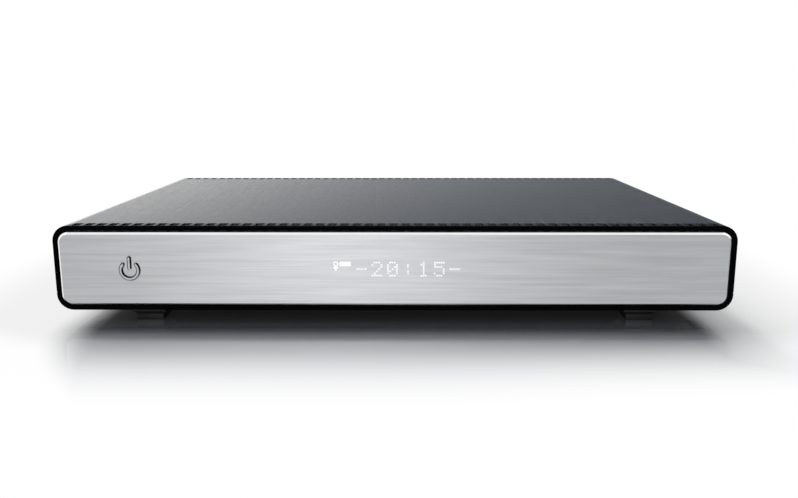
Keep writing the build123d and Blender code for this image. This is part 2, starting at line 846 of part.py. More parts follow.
with BuildPart() as board_screws:
    with BuildSketch(Plane.XY.offset(board_top)):
        with Locations(*board_holes):
            Circle(screw_head_radius)
    extrude(amount=screw_head_height)
    with BuildSketch(Plane.XY.offset(board_top)):
        with Locations(*board_holes):
            Circle(board_screw_radius)
    extrude(amount=-screw_length)

with BuildPart() as processor:
    with BuildSketch(Plane.XY.offset(board_top)):
        with Locations((processor_x, processor_y)):
            Rectangle(processor_size, processor_size)
    extrude(amount=processor_height)

with BuildPart() as thermal_pad:
    with BuildSketch(Plane.XY.offset(pad_bottom)):
        with Locations((processor_x, processor_y)):
            Rectangle(pad_size, pad_size)
    extrude(amount=pad_thickness)

with BuildPart() as heat_sink:
    with BuildSketch(Plane.XY.offset(sink_bottom)):
        with Locations((processor_x, processor_y)):
            Rectangle(sink_width, sink_depth)
            for side in (-1, 1):
                pin_x = side * (sink_width / 2 - sink_pin_inset)
                pin_y = side * (sink_depth / 2 - sink_pin_inset)
                with Locations((pin_x, pin_y)):
                    Circle(sink_pin_radius + sink_pin_gap, mode=Mode.SUBTRACT)
    extrude(amount=sink_base)
    with BuildSketch(Plane.XY.offset(sink_bottom + sink_base)):
        fin_pitch = (sink_width - sink_fin_thickness) / (sink_fin_count - 1)
        fin_length = sink_depth - 4 * sink_pin_inset
        with Locations((processor_x, processor_y)):
            with GridLocations(fin_pitch, 0, sink_fin_count, 1):
                Rectangle(sink_fin_thickness, fin_length)
    extrude(amount=sink_fin_height)

with BuildPart() as heat_sink_pins:
    for side in (-1, 1):
        pin_x = processor_x + side * (sink_width / 2 - sink_pin_inset)
        pin_y = processor_y + side * (sink_depth / 2 - sink_pin_inset)
        with BuildSketch(Plane.XY.offset(sink_bottom + sink_base)):
            with Locations((pin_x, pin_y)):
                Circle(sink_pin_head)
        extrude(amount=sink_pin_radius)
        with BuildSketch(Plane.XY.offset(sink_bottom + sink_base)):
            with Locations((pin_x, pin_y)):
                Circle(sink_pin_radius)
        extrude(amount=board_bottom - sink_bottom - sink_base - sink_pin_radius)

with BuildPart() as memory_chips:
    with BuildSketch(Plane.XY.offset(board_top)):
        with Locations((memory_x, processor_y)):
            with GridLocations(0, memory_pitch, 1, 4):
                Rectangle(memory_width, memory_depth)
    extrude(amount=memory_height)

with BuildPart() as capacitors:
    with BuildSketch(Plane.XY.offset(board_top)):
        with Locations((capacitor_x, back - capacitor_setback)):
            with GridLocations(capacitor_pitch, capacitor_pitch, 2, 2):
                Circle(capacitor_radius)
    extrude(amount=capacitor_height)

with BuildPart() as inductors:
    with BuildSketch(Plane.XY.offset(board_top)):
        with Locations((capacitor_x, back - inductor_setback)):
            with GridLocations(inductor_pitch, 0, 2, 1):
                RectangleRounded(inductor_size, inductor_size, inductor_corner)
    extrude(amount=inductor_height)

# Cage of the module slot: a folded sheet sleeve on two feet, open to the right, with a window
# above. The header at its inner end carries the two rows of pins.
with BuildPart() as module_cage:
    with BuildSketch(sideways(cage_start)):
        with Locations((module_y, board_top)):
            Rectangle(cage_outer_width, cage_height, align=LOW)
            Rectangle(
                cage_outer_width - 2 * cage_foot, module_floor - cage_sheet, align=LOW, mode=Mode.SUBTRACT
            )
        with Locations((module_y, module_z)):
            Rectangle(
                module_width + 2 * slot_opening_gap,
                module_height + 2 * slot_opening_gap,
                mode=Mode.SUBTRACT,
            )
    extrude(amount=cage_depth)
    with BuildSketch(Plane.XY.offset(board_top + cage_height)):
        with Locations((cage_start + cage_depth / 2, module_y)):
            Rectangle(cage_window_depth, cage_window_width)
    extrude(amount=-2 * cage_sheet, mode=Mode.SUBTRACT)

with BuildPart() as module_header:
    with BuildSketch(sideways(cage_start)):
        with Locations((module_y, module_z)):
            Rectangle(module_width, module_height)
    extrude(amount=header_block_depth)
    with BuildSketch(sideways(cage_start + header_block_depth)):
        with Locations((module_y, module_z)):
            with GridLocations(module_pin_pitch, module_pin_rows, module_pin_count, 2):
                Rectangle(module_pin_size, module_pin_size)
    extrude(amount=module_pin_reach)

with BuildPart() as card_reader:
    with BuildSketch(sideways(reader_start)):
        with Locations((card_y, board_top)):
            Rectangle(reader_width, reader_height, align=LOW)
    extrude(amount=reader_depth)
    with BuildSketch(sideways(cage_mouth)):
        with Locations((card_y, card_z)):
            Rectangle(card_width, card_height)
    extrude(amount=-reader_slot_depth, mode=Mode.SUBTRACT)

# ================================================================ rear panel
rear_cutouts = (
    (optical_x, optical_size, optical_size),
    (hdmi_x, hdmi_width, hdmi_height),
    (lan_x, lan_width, lan_height),
    (usb_x, usb_width, usb_height),
    (power_x, power_width, power_height),
    (switch_x, switch_width, switch_height),
)
with BuildPart() as rear_panel:
    with BuildSketch(upright(rear_inside)):
        with Locations((0, shell_middle)):
            RectangleRounded(panel_width, carrier_height, panel_radius)
        for cutout_x, cutout_width, cutout_height in rear_cutouts:
            with Locations((cutout_x, board_top + cutout_height / 2)):
                Rectangle(
                    cutout_width + 2 * cutout_gap, cutout_height + 2 * cutout_gap, mode=Mode.SUBTRACT
                )
        with Locations((connector_x, connector_z)):
            with GridLocations(connector_spacing, 0, 2, 1):
                Circle(connector_shank_radius + cutout_gap, mode=Mode.SUBTRACT)
        with Locations((0, lug_top_z)):
            with GridLocations(lug_spacing, 0, 3, 1):
                Circle(board_screw_radius + board_hole_gap, mode=Mode.SUBTRACT)
        with Locations((0, lug_floor_z)):
            with GridLocations(2 * lug_spacing, 0, 2, 1):
                Circle(board_screw_radius + board_hole_gap, mode=Mode.SUBTRACT)
        with Locations((rear_vent_x, shell_middle + rear_vent_rise)):
            with GridLocations(rear_vent_pitch, 0, rear_vent_count, 1):
                Rectangle(rear_vent_width, rear_vent_length, mode=Mode.SUBTRACT)
    extrude(amount=-rear_thickness)

with BuildPart() as rear_screws:
    for head, reach in ((screw_head_radius, -screw_head_height), (board_screw_radius, screw_length)):
        with BuildSketch(upright(back)):
            with Locations((0, lug_top_z)):
                with GridLocations(lug_spacing, 0, 3, 1):
                    Circle(head)
            with Locations((0, lug_floor_z)):
                with GridLocations(2 * lug_spacing, 0, 2, 1):
                    Circle(head)
        extrude(amount=reach)

# ================================================================ aerial connectors
with BuildPart() as tuner_shield:
    with BuildSketch(Plane.XY.offset(board_top)):
        with Locations((connector_x, tuner_back)):
            Rectangle(tuner_width, tuner_depth, align=HIGH)
    extrude(amount=tuner_height)
    offset(amount=-tuner_sheet, openings=tuner_shield.faces().sort_by(Axis.Z)[0])
    with BuildSketch(upright(tuner_back)):
        with Locations((connector_x, connector_z)):
            with GridLocations(connector_spacing, 0, 2, 1):
                Circle(connector_shank_radius + cutout_gap)
    extrude(amount=tuner_sheet, mode=Mode.SUBTRACT)


def make_connector(x: float) -> BuildPart:
    """Build one aerial connector: hexagonal flange inside the tuner, round barrel outside."""
    with BuildPart() as connector:
        with BuildSketch(upright(tuner_back - tuner_sheet)):
            with Locations((x, connector_z)):
                RegularPolygon(connector_nut_flats / 2, 6, major_radius=False)
        extrude(amount=connector_flange_height)
        with BuildSketch(upright(tuner_back - tuner_sheet)):
            with Locations((x, connector_z)):
                Circle(connector_shank_radius)
        extrude(amount=-(tuner_sheet + rear_thickness + connector_nut_height))
        with BuildSketch(upright(back + connector_nut_height)):
            with Locations((x, connector_z)):
                Circle(connector_radius)
        extrude(amount=-(connector_length - connector_nut_height))
        with BuildSketch(upright(back + connector_length)):
            with Locations((x, connector_z)):
                Circle(connector_bore)
        extrude(amount=connector_bore_depth, mode=Mode.SUBTRACT)
    return connector


connectors = {
    "aerial_connector_left": make_connector(connector_x - connector_spacing / 2),
    "aerial_connector_right": make_connector(connector_x + connector_spacing / 2),
}

with BuildPart() as connector_insulators:
    with BuildSketch(upright(back + connector_length - connector_bore_depth)):
        with Locations((connector_x, connector_z)):
            with GridLocations(connector_spacing, 0, 2, 1):
                Circle(connector_bore - screw_gap)
                Circle(connector_contact_radius, mode=Mode.SUBTRACT)
    extrude(amount=-(connector_bore_depth - connector_face_recess))

with BuildPart() as connector_nuts:
    with BuildSketch(upright(back)):
        with Locations((connector_x, connector_z)):
            with GridLocations(connector_spacing, 0, 2, 1):
                RegularPolygon(connector_nut_flats / 2, 6, major_radius=False)
                Circle(connector_shank_radius + nut_gap, mode=Mode.SUBTRACT)
    extrude(amount=-connector_nut_height)


# ================================================================ sockets
def draw_socket(x: float, width: float, height: float) -> None:
    """Draw in the current sketch the outline of a socket that stands on the main board."""
    with Locations((x, board_top)):
        Rectangle(width, height, align=LOW)


with BuildPart() as optical_socket:
    with BuildSketch(upright(socket_face)):
        draw_socket(optical_x, optical_size, optical_size)
    extrude(amount=optical_depth)
    with BuildSketch(upright(socket_face)):
        with Locations((optical_x, optical_z)):
            Rectangle(optical_bore, optical_bore)
    extrude(amount=optical_bore_depth, mode=Mode.SUBTRACT)
    with BuildSketch(sideways(optical_x)):
        with Locations((shutter_y, shutter_z)):
            Circle(shutter_pin_radius + shutter_pin_gap)
    pin_room = optical_bore / 2 + shutter_pin_reach + shutter_pin_play
    extrude(amount=pin_room, both=True, mode=Mode.SUBTRACT)

# Shutter of the optical socket: a flap hanging from two pins, pushed inwards by the plug.
with BuildPart() as optical_shutter:
    flap_length = optical_bore - 2 * shutter_gap - shutter_thickness / 2
    flap_half = optical_bore / 2 - shutter_gap
    with BuildSketch(sideways(optical_x)):
        with Locations((shutter_y, shutter_z)):
            Circle(shutter_thickness / 2)
            Rectangle(shutter_thickness, flap_length, align=HIGH)
    extrude(amount=flap_half, both=True)
    with BuildSketch(sideways(optical_x)):
        with Locations((shutter_y, shutter_z)):
            Circle(shutter_pin_radius)
    extrude(amount=optical_bore / 2 + shutter_pin_reach, both=True)


def draw_hdmi(shrink: float) -> None:
    """Draw the video socket's outline, with its two lower corners cut, shrunk all round."""
    half = hdmi_width / 2
    with Locations((hdmi_x, board_top)):
        Polygon(
            (-half, hdmi_height),
            (-half, hdmi_lower_chamfer),
            (-half + hdmi_lower_chamfer, 0),
            (half - hdmi_lower_chamfer, 0),
            (half, hdmi_lower_chamfer),
            (half, hdmi_height),
            align=None,
        )
    if shrink > 0:
        offset(amount=-shrink, kind=Kind.INTERSECTION, mode=Mode.REPLACE)


with BuildPart() as hdmi_socket:
    with BuildSketch(upright(socket_face)):
        draw_hdmi(0)
    extrude(amount=hdmi_depth)
    with BuildSketch(upright(socket_face)):
        draw_hdmi(hdmi_sheet)
    extrude(amount=hdmi_bore_depth, mode=Mode.SUBTRACT)

with BuildPart() as hdmi_tongue:
    with BuildSketch(upright(socket_face - hdmi_bore_depth)):
        with Locations((hdmi_x, board_top + hdmi_height / 2)):
            Rectangle(hdmi_tongue_width, hdmi_tongue_height)
    extrude(amount=-hdmi_tongue_reach)

with BuildPart() as lan_socket:
    with BuildSketch(upright(socket_face)):
        draw_socket(lan_x, lan_width, lan_height)
    extrude(amount=lan_depth)
    with BuildSketch(upright(socket_face)):
        with Locations((lan_x, board_top + lan_bore_floor)):
            Rectangle(lan_bore_width, lan_bore_height, align=LOW)
            Rectangle(lan_latch_width, lan_bore_height + lan_latch_height, align=LOW)
    extrude(amount=lan_bore_depth, mode=Mode.SUBTRACT)

with BuildPart() as lan_contacts:
    contact_end = socket_face - lan_bore_depth
    contact_floor = board_top + lan_bore_floor
    for contact in range(lan_contact_count):
        contact_x = lan_x + (contact - (lan_contact_count - 1) / 2) * lan_contact_pitch
        with BuildSketch(sideways(contact_x - lan_contact_size / 2)):
            Polygon(
                (contact_end, contact_floor),
                (contact_end + lan_contact_reach, contact_floor),
                (contact_end, contact_floor + lan_contact_drop),
                align=None,
            )
        extrude(amount=lan_contact_size)

with BuildPart() as usb_socket:
    with BuildSketch(upright(socket_face)):
        draw_socket(usb_x, usb_width, usb_height)
    extrude(amount=usb_depth)
    with BuildSketch(upright(socket_face)):
        with Locations((usb_x, usb_z)):
            with GridLocations(0, usb_bore_pitch, 1, 2):
                Rectangle(usb_bore_width, usb_bore_height)
    extrude(amount=usb_bore_depth, mode=Mode.SUBTRACT)

with BuildPart() as usb_tongues:
    with BuildSketch(upright(socket_face - usb_bore_depth)):
        with Locations((usb_x, usb_z + usb_bore_height / 2 - usb_tongue_rise - usb_tongue_height / 2)):
            with GridLocations(0, usb_bore_pitch, 1, 2):
                Rectangle(usb_tongue_width, usb_tongue_height)
    extrude(amount=-usb_tongue_reach)

with BuildPart() as power_socket:
    with BuildSketch(upright(socket_face)):
        draw_socket(power_x, power_width, power_height)
    extrude(amount=power_depth)
    with BuildSketch(upright(socket_face)):
        with Locations((power_x, power_z)):
            Circle(power_bore_radius)
    extrude(amount=power_bore_depth, mode=Mode.SUBTRACT)

with BuildPart() as power_pin:
    with BuildSketch(upright(socket_face - power_bore_depth)):
        with Locations((power_x, power_z)):
            Circle(power_pin_radius)
    extrude(amount=-power_pin_reach)

# Mains switch: a block through the rear panel with a bezel outside it and a well for the rocker.
with BuildPart() as switch_body:
    with BuildSketch(upright(back)):
        with Locations((switch_x, switch_z)):
            Rectangle(switch_width, switch_height)
    extrude(amount=switch_depth)
    with BuildSketch(upright(back)):
        with Locations((switch_x, switch_z)):
            Rectangle(switch_width + 2 * switch_bezel_overhang, switch_height + 2 * switch_bezel_overhang)
    extrude(amount=-switch_bezel_thickness)
    with BuildSketch(upright(back + switch_bezel_thickness)):
        with Locations((switch_x, switch_z)):
            Rectangle(switch_well_width, switch_well_height)
    extrude(amount=switch_well_depth, mode=Mode.SUBTRACT)
    with BuildSketch(Plane.XY.offset(switch_z)):
        with Locations((switch_x, rocker_pivot_y)):
            Circle(rocker_pin_radius + rocker_pin_gap)
    pin_room = switch_well_height / 2 + rocker_pin_reach + rocker_pin_play
    extrude(amount=pin_room, both=True, mode=Mode.SUBTRACT)

# Rocker: two faces meeting in a ridge, rounded ends about the pivot so that it swings in its
# well, stored tipped to one of its two stops.
with BuildPart() as switch_rocker:
    rocker_radius = switch_well_width / 2 - rocker_gap
    tip = radians(rocker_throw / 2)
    drop = rocker_crown - rocker_radius * sin(tip) / cos(tip)
    rocker_plane = Plane(
        origin=(switch_x, rocker_pivot_y, switch_z), x_dir=(cos(tip), -sin(tip), 0), z_dir=(0, 0, 1)
    )
    with BuildSketch(rocker_plane):
        Circle(rocker_radius)
        Polygon(
            (0, rocker_crown),
            (-rocker_radius, drop),
            (-rocker_radius, -rocker_keel),
            (rocker_radius, -rocker_keel),
            (rocker_radius, drop),
            align=None,
            mode=Mode.INTERSECT,
        )
    extrude(amount=switch_well_height / 2 - rocker_gap, both=True)
    with BuildSketch(rocker_plane):
        Circle(rocker_pin_radius)
    extrude(amount=switch_well_height / 2 + rocker_pin_reach, both=True)

# ================================================================ files
pieces = {
    "top_cover": top_cover,
    "bottom_tray": bottom_tray,
    **feet,
    "front_panel": front_panel,
    "front_carrier": front_carrier,
    "power_key": power_key,
    "tact_switch": tact_switch,
    "tact_plunger": tact_plunger,
    "status_leds": status_leds,
    "front_board": front_board,
    "front_board_screws": front_board_screws,
    "display_module": display_module,
    "display_diffuser": display_diffuser,
    "ir_receiver": ir_receiver,
    "front_header": front_header,
    "ribbon_cable": ribbon_cable,
    "main_header": main_header,
    "main_board": main_board,
    "board_screws": board_screws,
    "processor": processor,
    "thermal_pad": thermal_pad,
    "heat_sink": heat_sink,
    "heat_sink_pins": heat_sink_pins,
    "memory_chips": memory_chips,
    "capacitors": capacitors,
    "inductors": inductors,
    "module_cage": module_cage,
    "module_header": module_header,
    "card_reader": card_reader,
    "rear_panel": rear_panel,
    "rear_screws": rear_screws,
    "tuner_shield": tuner_shield,
    **connectors,
    "connector_insulators": connector_insulators,
    "connector_nuts": connector_nuts,
    "optical_socket": optical_socket,
    "optical_shutter": optical_shutter,
    "hdmi_socket": hdmi_socket,
    "hdmi_tongue": hdmi_tongue,
    "lan_socket": lan_socket,
    "lan_contacts": lan_contacts,
    "usb_socket": usb_socket,
    "usb_tongues": usb_tongues,
    "power_socket": power_socket,
    "power_pin": power_pin,
    "switch_body": switch_body,
    "switch_rocker": switch_rocker,
}
os.makedirs("parts", exist_ok=True)
for name, piece in pieces.items():
    piece.part.label = name
    export_step(piece.part, f"parts/{name}.step")
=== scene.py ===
"""Satellite receiver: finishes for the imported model, its fine pieces, the studio and the camera."""
import json
import logging
import math
from dataclasses import dataclass
from enum import Enum
from typing import Callable, Dict, List, Optional, Sequence, Tuple, Union

import bmesh
import bpy
from mathutils import Matrix, Vector


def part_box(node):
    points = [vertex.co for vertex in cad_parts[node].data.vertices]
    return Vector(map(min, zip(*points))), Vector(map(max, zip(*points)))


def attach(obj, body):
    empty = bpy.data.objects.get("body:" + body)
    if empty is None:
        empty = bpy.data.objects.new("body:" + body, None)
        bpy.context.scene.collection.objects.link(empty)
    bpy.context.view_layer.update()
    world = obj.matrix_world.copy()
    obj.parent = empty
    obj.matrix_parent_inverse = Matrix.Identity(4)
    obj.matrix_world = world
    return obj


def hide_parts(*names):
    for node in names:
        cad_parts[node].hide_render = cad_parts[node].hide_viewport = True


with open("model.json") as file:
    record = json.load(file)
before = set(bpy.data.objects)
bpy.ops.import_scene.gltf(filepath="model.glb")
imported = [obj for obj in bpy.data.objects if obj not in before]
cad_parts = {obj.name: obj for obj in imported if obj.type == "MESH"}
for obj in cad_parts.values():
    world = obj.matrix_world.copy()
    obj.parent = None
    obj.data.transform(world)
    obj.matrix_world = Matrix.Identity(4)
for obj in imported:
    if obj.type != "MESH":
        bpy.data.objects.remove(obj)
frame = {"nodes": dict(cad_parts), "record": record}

LOG = logging.getLogger("receiver")
MM = 0.001
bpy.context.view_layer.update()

Colour = Tuple[float, float, float]
Point = Tuple[float, float, float]
Pair = Tuple[float, float]
Term = Union[float, "Signal"]
Sockets = Dict[Union[str, int], object]


class Body(Enum):
    """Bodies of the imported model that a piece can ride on."""

    CHASSIS = "chassis"
    ROCKER = "rocker"


class Facing(Enum):
    """Directions that a piece modelled along +Z can be turned to, each as an angle about X."""

    FRONT = math.pi / 2
    BACK = -math.pi / 2


# --- shader maths
class Signal:
    """A shader socket that joins in arithmetic. Each operator adds one Math node."""

    def __init__(self, tree: "ShaderTree", socket: bpy.types.NodeSocket) -> None:
        """Wrap an output socket of a tree."""
        self.tree = tree
        self.socket = socket

    def _math(self, operation: str, first: Term, second: Term = 0.0) -> "Signal":
        """Return the result of one Math node."""
        return self.tree.add("ShaderNodeMath", {0: first, 1: second}, operation=operation)

    def __add__(self, other: Term) -> "Signal":
        """Return the sum."""
        return self._math("ADD", self, other)

    __radd__ = __add__

    def __mul__(self, other: Term) -> "Signal":
        """Return the product."""
        return self._math("MULTIPLY", self, other)

    __rmul__ = __mul__

    def __sub__(self, other: Term) -> "Signal":
        """Return this value less the other."""
        return self._math("SUBTRACT", self, other)

    def __rsub__(self, other: Term) -> "Signal":
        """Return the other value less this one."""
        return self._math("SUBTRACT", other, self)

    def __neg__(self) -> "Signal":
        """Return this value with its sign turned."""
        return 0.0 - self

    def __pow__(self, exponent: Term) -> "Signal":
        """Return this value raised to a power."""
        return self._math("POWER", self, exponent)

    def at_most(self, limit: Term) -> "Signal":
        """Return the smaller of this value and a limit."""
        return self._math("MINIMUM", self, limit)

    def at_least(self, limit: Term) -> "Signal":
        """Return the larger of this value and a limit."""
        return self._math("MAXIMUM", self, limit)

    def exp(self) -> "Signal":
        """Return e raised to this value."""
        return self._math("EXPONENT", self)

    def rise(self, start: float, end: float) -> "Signal":
        """Return a smooth step, which leaves 0 at the start and reaches 1 at the end."""
        sockets: Sockets = {0: self, 1: start, 2: end, 3: 0.0, 4: 1.0}
        return self.tree.add("ShaderNodeMapRange", sockets, interpolation_type="SMOOTHSTEP")

    def past(self, start: float, width: float) -> "Signal":
        """Return a smooth step of a length in metres, with its start and width in millimetres."""
        return self.rise(start * MM, (start + width) * MM)

    def other(self, name: str) -> "Signal":
        """Return another output of the same node."""
        return Signal(self.tree, self.socket.node.outputs[name])


class ShaderTree:
    """The node tree of a material or the world."""

    def __init__(self, owner: Union[bpy.types.Material, bpy.types.World]) -> None:
        """Empty the owner's node tree and start anew."""
        owner.use_nodes = True
        self.nodes = owner.node_tree.nodes
        self.links = owner.node_tree.links
        self.nodes.clear()

    def add(
        self, kind: str, sockets: Optional[Sockets] = None, output: Union[str, int] = 0, **settings: object
    ) -> Signal:
        """Add a node.

        Args:
            kind: The node's type.
            sockets: Values or links of the inputs, by name or number. None leaves an input as it is.
            output: The output to return.
            settings: Properties, set first.

        Returns:
            The chosen output.
        """
        node = self.nodes.new(kind)
        for name, value in settings.items():
            setattr(node, name, value)
        for name, value in (sockets or {}).items():
            if isinstance(value, Signal):
                self.links.new(value.socket, node.inputs[name])
            elif isinstance(value, tuple) and node.inputs[name].type == "RGBA":
                node.inputs[name].default_value = (*value, 1.0)
            elif value is not None:
                node.inputs[name].default_value = value
        return Signal(self, node.outputs[output])

    def place(self, scale: Point = (1.0, 1.0, 1.0), turn: float = 0.0) -> Signal:
        """Return object coordinates, turned and then scaled.

        Args:
            scale: Pattern repeats per metre along each axis.
            turn: Angle in radians about Z.

        Returns:
            The coordinates as a vector.
        """
        here = self.add("ShaderNodeTexCoord", output="Object")
        turned = self.add("ShaderNodeMapping", {"Vector": here, "Rotation": (0.0, 0.0, turn)})
        return self.add("ShaderNodeVectorMath", {0: turned, 1: scale}, operation="MULTIPLY")

    def noise(self, size: float, detail: float) -> Signal:
        """Return a cloudy pattern around 0.5, by a cloud's width in millimetres and its finer layers."""
        where = self.add("ShaderNodeTexCoord", output="Object")
        sockets: Sockets = {"Vector": where, "Scale": 1.0 / (size * MM), "Detail": detail}
        return self.add("ShaderNodeTexNoise", sockets)

    def streaks(self, scale: Point, detail: float, turn: float = 0.0) -> Signal:
        """Return a drawn-out pattern around 0.5, by its scale and turn as a place, and its finer layers."""
        where = self.place(scale, turn)
        return self.add("ShaderNodeTexNoise", {"Vector": where, "Scale": 1.0, "Detail": detail})

    def mix(self, factor: Term, first: object, second: object) -> Signal:
        """Return a blend of two colours, where the factor is the second one's share."""
        return self.add("ShaderNodeMix", {0: factor, 6: first, 7: second}, 2, data_type="RGBA")

    def blend(self, factor: Term, first: Signal, second: Signal) -> Signal:
        """Return a blend of two shaders, where the factor is the second one's share."""
        return self.add("ShaderNodeMixShader", {0: factor, 1: first, 2: second})

    def split(self, vector: Signal) -> Signal:
        """Return the X part of a vector; other("Y") and other("Z") give the rest."""
        return self.add("ShaderNodeSeparateXYZ", {0: vector})

    def normal(self) -> Signal:
        """Return the surface's direction, split."""
        return self.split(self.add("ShaderNodeNewGeometry", output="Normal"))

    def worn_edges(self, radius: float) -> Tuple[Signal, Signal]:
        """Find the edges.

        Args:
            radius: Width of an edge in millimetres.

        Returns:
            A normal that is rounded along the edges, and a mask that rises from 0 to 1 there.
        """
        rounded = self.add("ShaderNodeBevel", {"Radius": radius * MM}, samples=4)
        flat = self.add("ShaderNodeNewGeometry", output="Normal")
        along = self.add("ShaderNodeVectorMath", {0: rounded, 1: flat}, "Value", operation="DOT_PRODUCT")
        return rounded, (1.0 - along).rise(0.01, 0.22)

    def bump(self, height: Signal, depth: float, base: Optional[Signal] = None) -> Signal:
        """Return a normal that a height roughens to a depth in millimetres, over a base if there is one."""
        return self.add("ShaderNodeBump", {"Height": height, "Distance": depth * MM, "Normal": base})

    def coat(
        self, colour: object, rough: Term, normal: Optional[Signal] = None, shine: Term = 0.5, **more: object
    ) -> Signal:
        """Return a Principled surface.

        Args:
            colour: Its base colour.
            rough: Its roughness.
            normal: Its normal, where it isn't plain.
            shine: Its specular level.
            more: Its other sockets, named with underscores for spaces.

        Returns:
            The shader.
        """
        sockets: Sockets = {"Base Color": colour, "Roughness": rough, "Normal": normal}
        sockets.update({name.replace("_", " "): value for name, value in more.items()})
        sockets["Specular IOR Level"] = shine
        return self.add("ShaderNodeBsdfPrincipled", sockets)

    def end(self, surface: Signal, kind: str = "ShaderNodeOutputMaterial") -> None:
        """Join the surface to the tree's output."""
        node = self.nodes.new(kind)
        self.links.new(surface.socket, node.inputs["Surface"])


# --- finishes
@dataclass(frozen=True)
class Finish:
    """A surface finish, which makes one material."""

    name: str
    colour: Colour

    def surface(self, tree: ShaderTree) -> Signal:
        """Return the finish's shader, made in a material's node tree."""
        raise NotImplementedError

    def material(self) -> bpy.types.Material:
        """Return the finish's material, made once."""
        made = bpy.data.materials.get(self.name)
        if made is None:
            made = bpy.data.materials.new(self.name)
            tree = ShaderTree(made)
            tree.end(self.surface(tree))
            made.diffuse_color = (*self.colour, 1.0)
        return made

    def shade(self, share: float) -> Colour:
        """Return the finish's colour, darker or lighter by a share."""
        return tuple(min(1.0, part * share) for part in self.colour)


@dataclass(frozen=True)
class MouldedPlastic(Finish):
    """Moulded plastic with a fine spark texture and edges polished by handling."""

    roughness: float = 0.45
    grain: float = 0.35
    grain_depth: float = 0.012
    edge: float = 0.25
    shine: float = 0.4

    def surface(self, tree: ShaderTree) -> Signal:
        """Return the plastic's shader."""
        grain = tree.noise(self.grain, 2.0)
        cloud = tree.noise(24.0, 3.0)
        rounded, edges = tree.worn_edges(self.edge)
        colour = tree.mix(cloud, self.shade(0.86), self.shade(1.12))
        colour = tree.mix(edges * 0.35, colour, self.shade(1.5))
        rough = self.roughness + 0.12 * (grain - 0.5) + 0.1 * (cloud - 0.5) - 0.12 * edges
        return tree.coat(colour, rough, tree.bump(grain, self.grain_depth, rounded), self.shine)


@dataclass(frozen=True)
class SatinShell(Finish):
    """Black shell: satin with fine oblique drawing marks on top, and a deep gloss front rim. Across the slot
    row and in front of it, the top is blended towards the rim's near-black finish as painted shade, and the
    slot walls are grey as painted light.

    A pair is the start of a fade, ahead of the origin or above it, and its width, in millimetres.
    """

    hatch_turn: float = -0.06
    hatch_depth: float = 0.032
    edge: float = 0.35
    gloss_band: Pair = (106.1, 0.5)
    # bands of painted shade on the top near its front edge: across the slot row, and in front of it
    painted_shade_strip_band: Pair = (99.9, 1.0)
    painted_shade_strip_share: float = 0.68
    painted_shade_band: Pair = (102.6, 0.8)
    painted_shade_share: float = 0.92
    slot_rise: Pair = (42.4, 0.9)
    slot_reach: Pair = (101.0, 1.0)
    # painted light: grey for the walls inside the slots of a black shell, so the slots look lit inside
    slot_wall_painted_light_dim: Colour = (0.22, 0.222, 0.23)
    slot_wall_painted_light_bright: Colour = (0.27, 0.272, 0.28)

    def surface(self, tree: ShaderTree) -> Signal:
        """Return the shell's shader."""
        marks = tree.streaks((680.0, 130.0, 200.0), 1.0, self.hatch_turn)
        broad = tree.streaks((230.0, 16.0, 60.0), 2.0, self.hatch_turn)
        cloud = tree.noise(40.0, 3.0)
        rounded, edges = tree.worn_edges(self.edge)
        colour = tree.mix(cloud, self.shade(0.8), self.shade(1.25))
        colour = tree.mix(edges * 0.3, colour, self.shade(2.2))
        rough = 0.17 + 0.12 * (marks - 0.5) + 0.06 * (broad - 0.5) + 0.04 * (cloud - 0.5)
        satin = tree.coat(colour, rough, tree.bump(marks, self.hatch_depth, rounded))
        colour = tree.mix(cloud, (0.0003, 0.0003, 0.0004), (0.0007, 0.0007, 0.0008))
        gloss = tree.coat(colour, 0.16 + 0.05 * (cloud - 0.5), rounded, shine=0.02)
        colour = tree.mix(marks, (0.003, 0.003, 0.0035), (0.006, 0.006, 0.007))
        rough = 0.5 + 0.1 * (cloud - 0.5)
        dull = tree.coat(colour, rough, tree.bump(marks, 0.01), shine=0.12)
        # slot walls in grey as painted light
        wall = tree.coat(tree.mix(cloud, self.slot_wall_painted_light_dim, self.slot_wall_painted_light_bright), rough, shine=0.3)
        facing = tree.normal()
        here = tree.split(tree.place())
        ahead = -here.other("Y")
        under = (-facing.other("Z")).rise(0.3, 0.85)
        inside = (-facing.other("Y")).rise(0.7, 0.9) * here.other("Z").past(*self.slot_rise)
        # painted shade: the top across the slot row and in front of it is blended towards the near-black rim
        # finish
        strip = ahead.past(*self.painted_shade_strip_band) * self.painted_shade_strip_share
        painted_shade = ahead.past(*self.painted_shade_band) * self.painted_shade_share
        front = ahead.past(*self.gloss_band).at_least(painted_shade).at_least(strip)
        front = front * (1.0 - inside * (1.0 - ahead.past(*self.slot_reach)))
        above = tree.blend(inside, tree.blend(under, satin, dull), wall)
        return tree.blend(front, above, gloss)


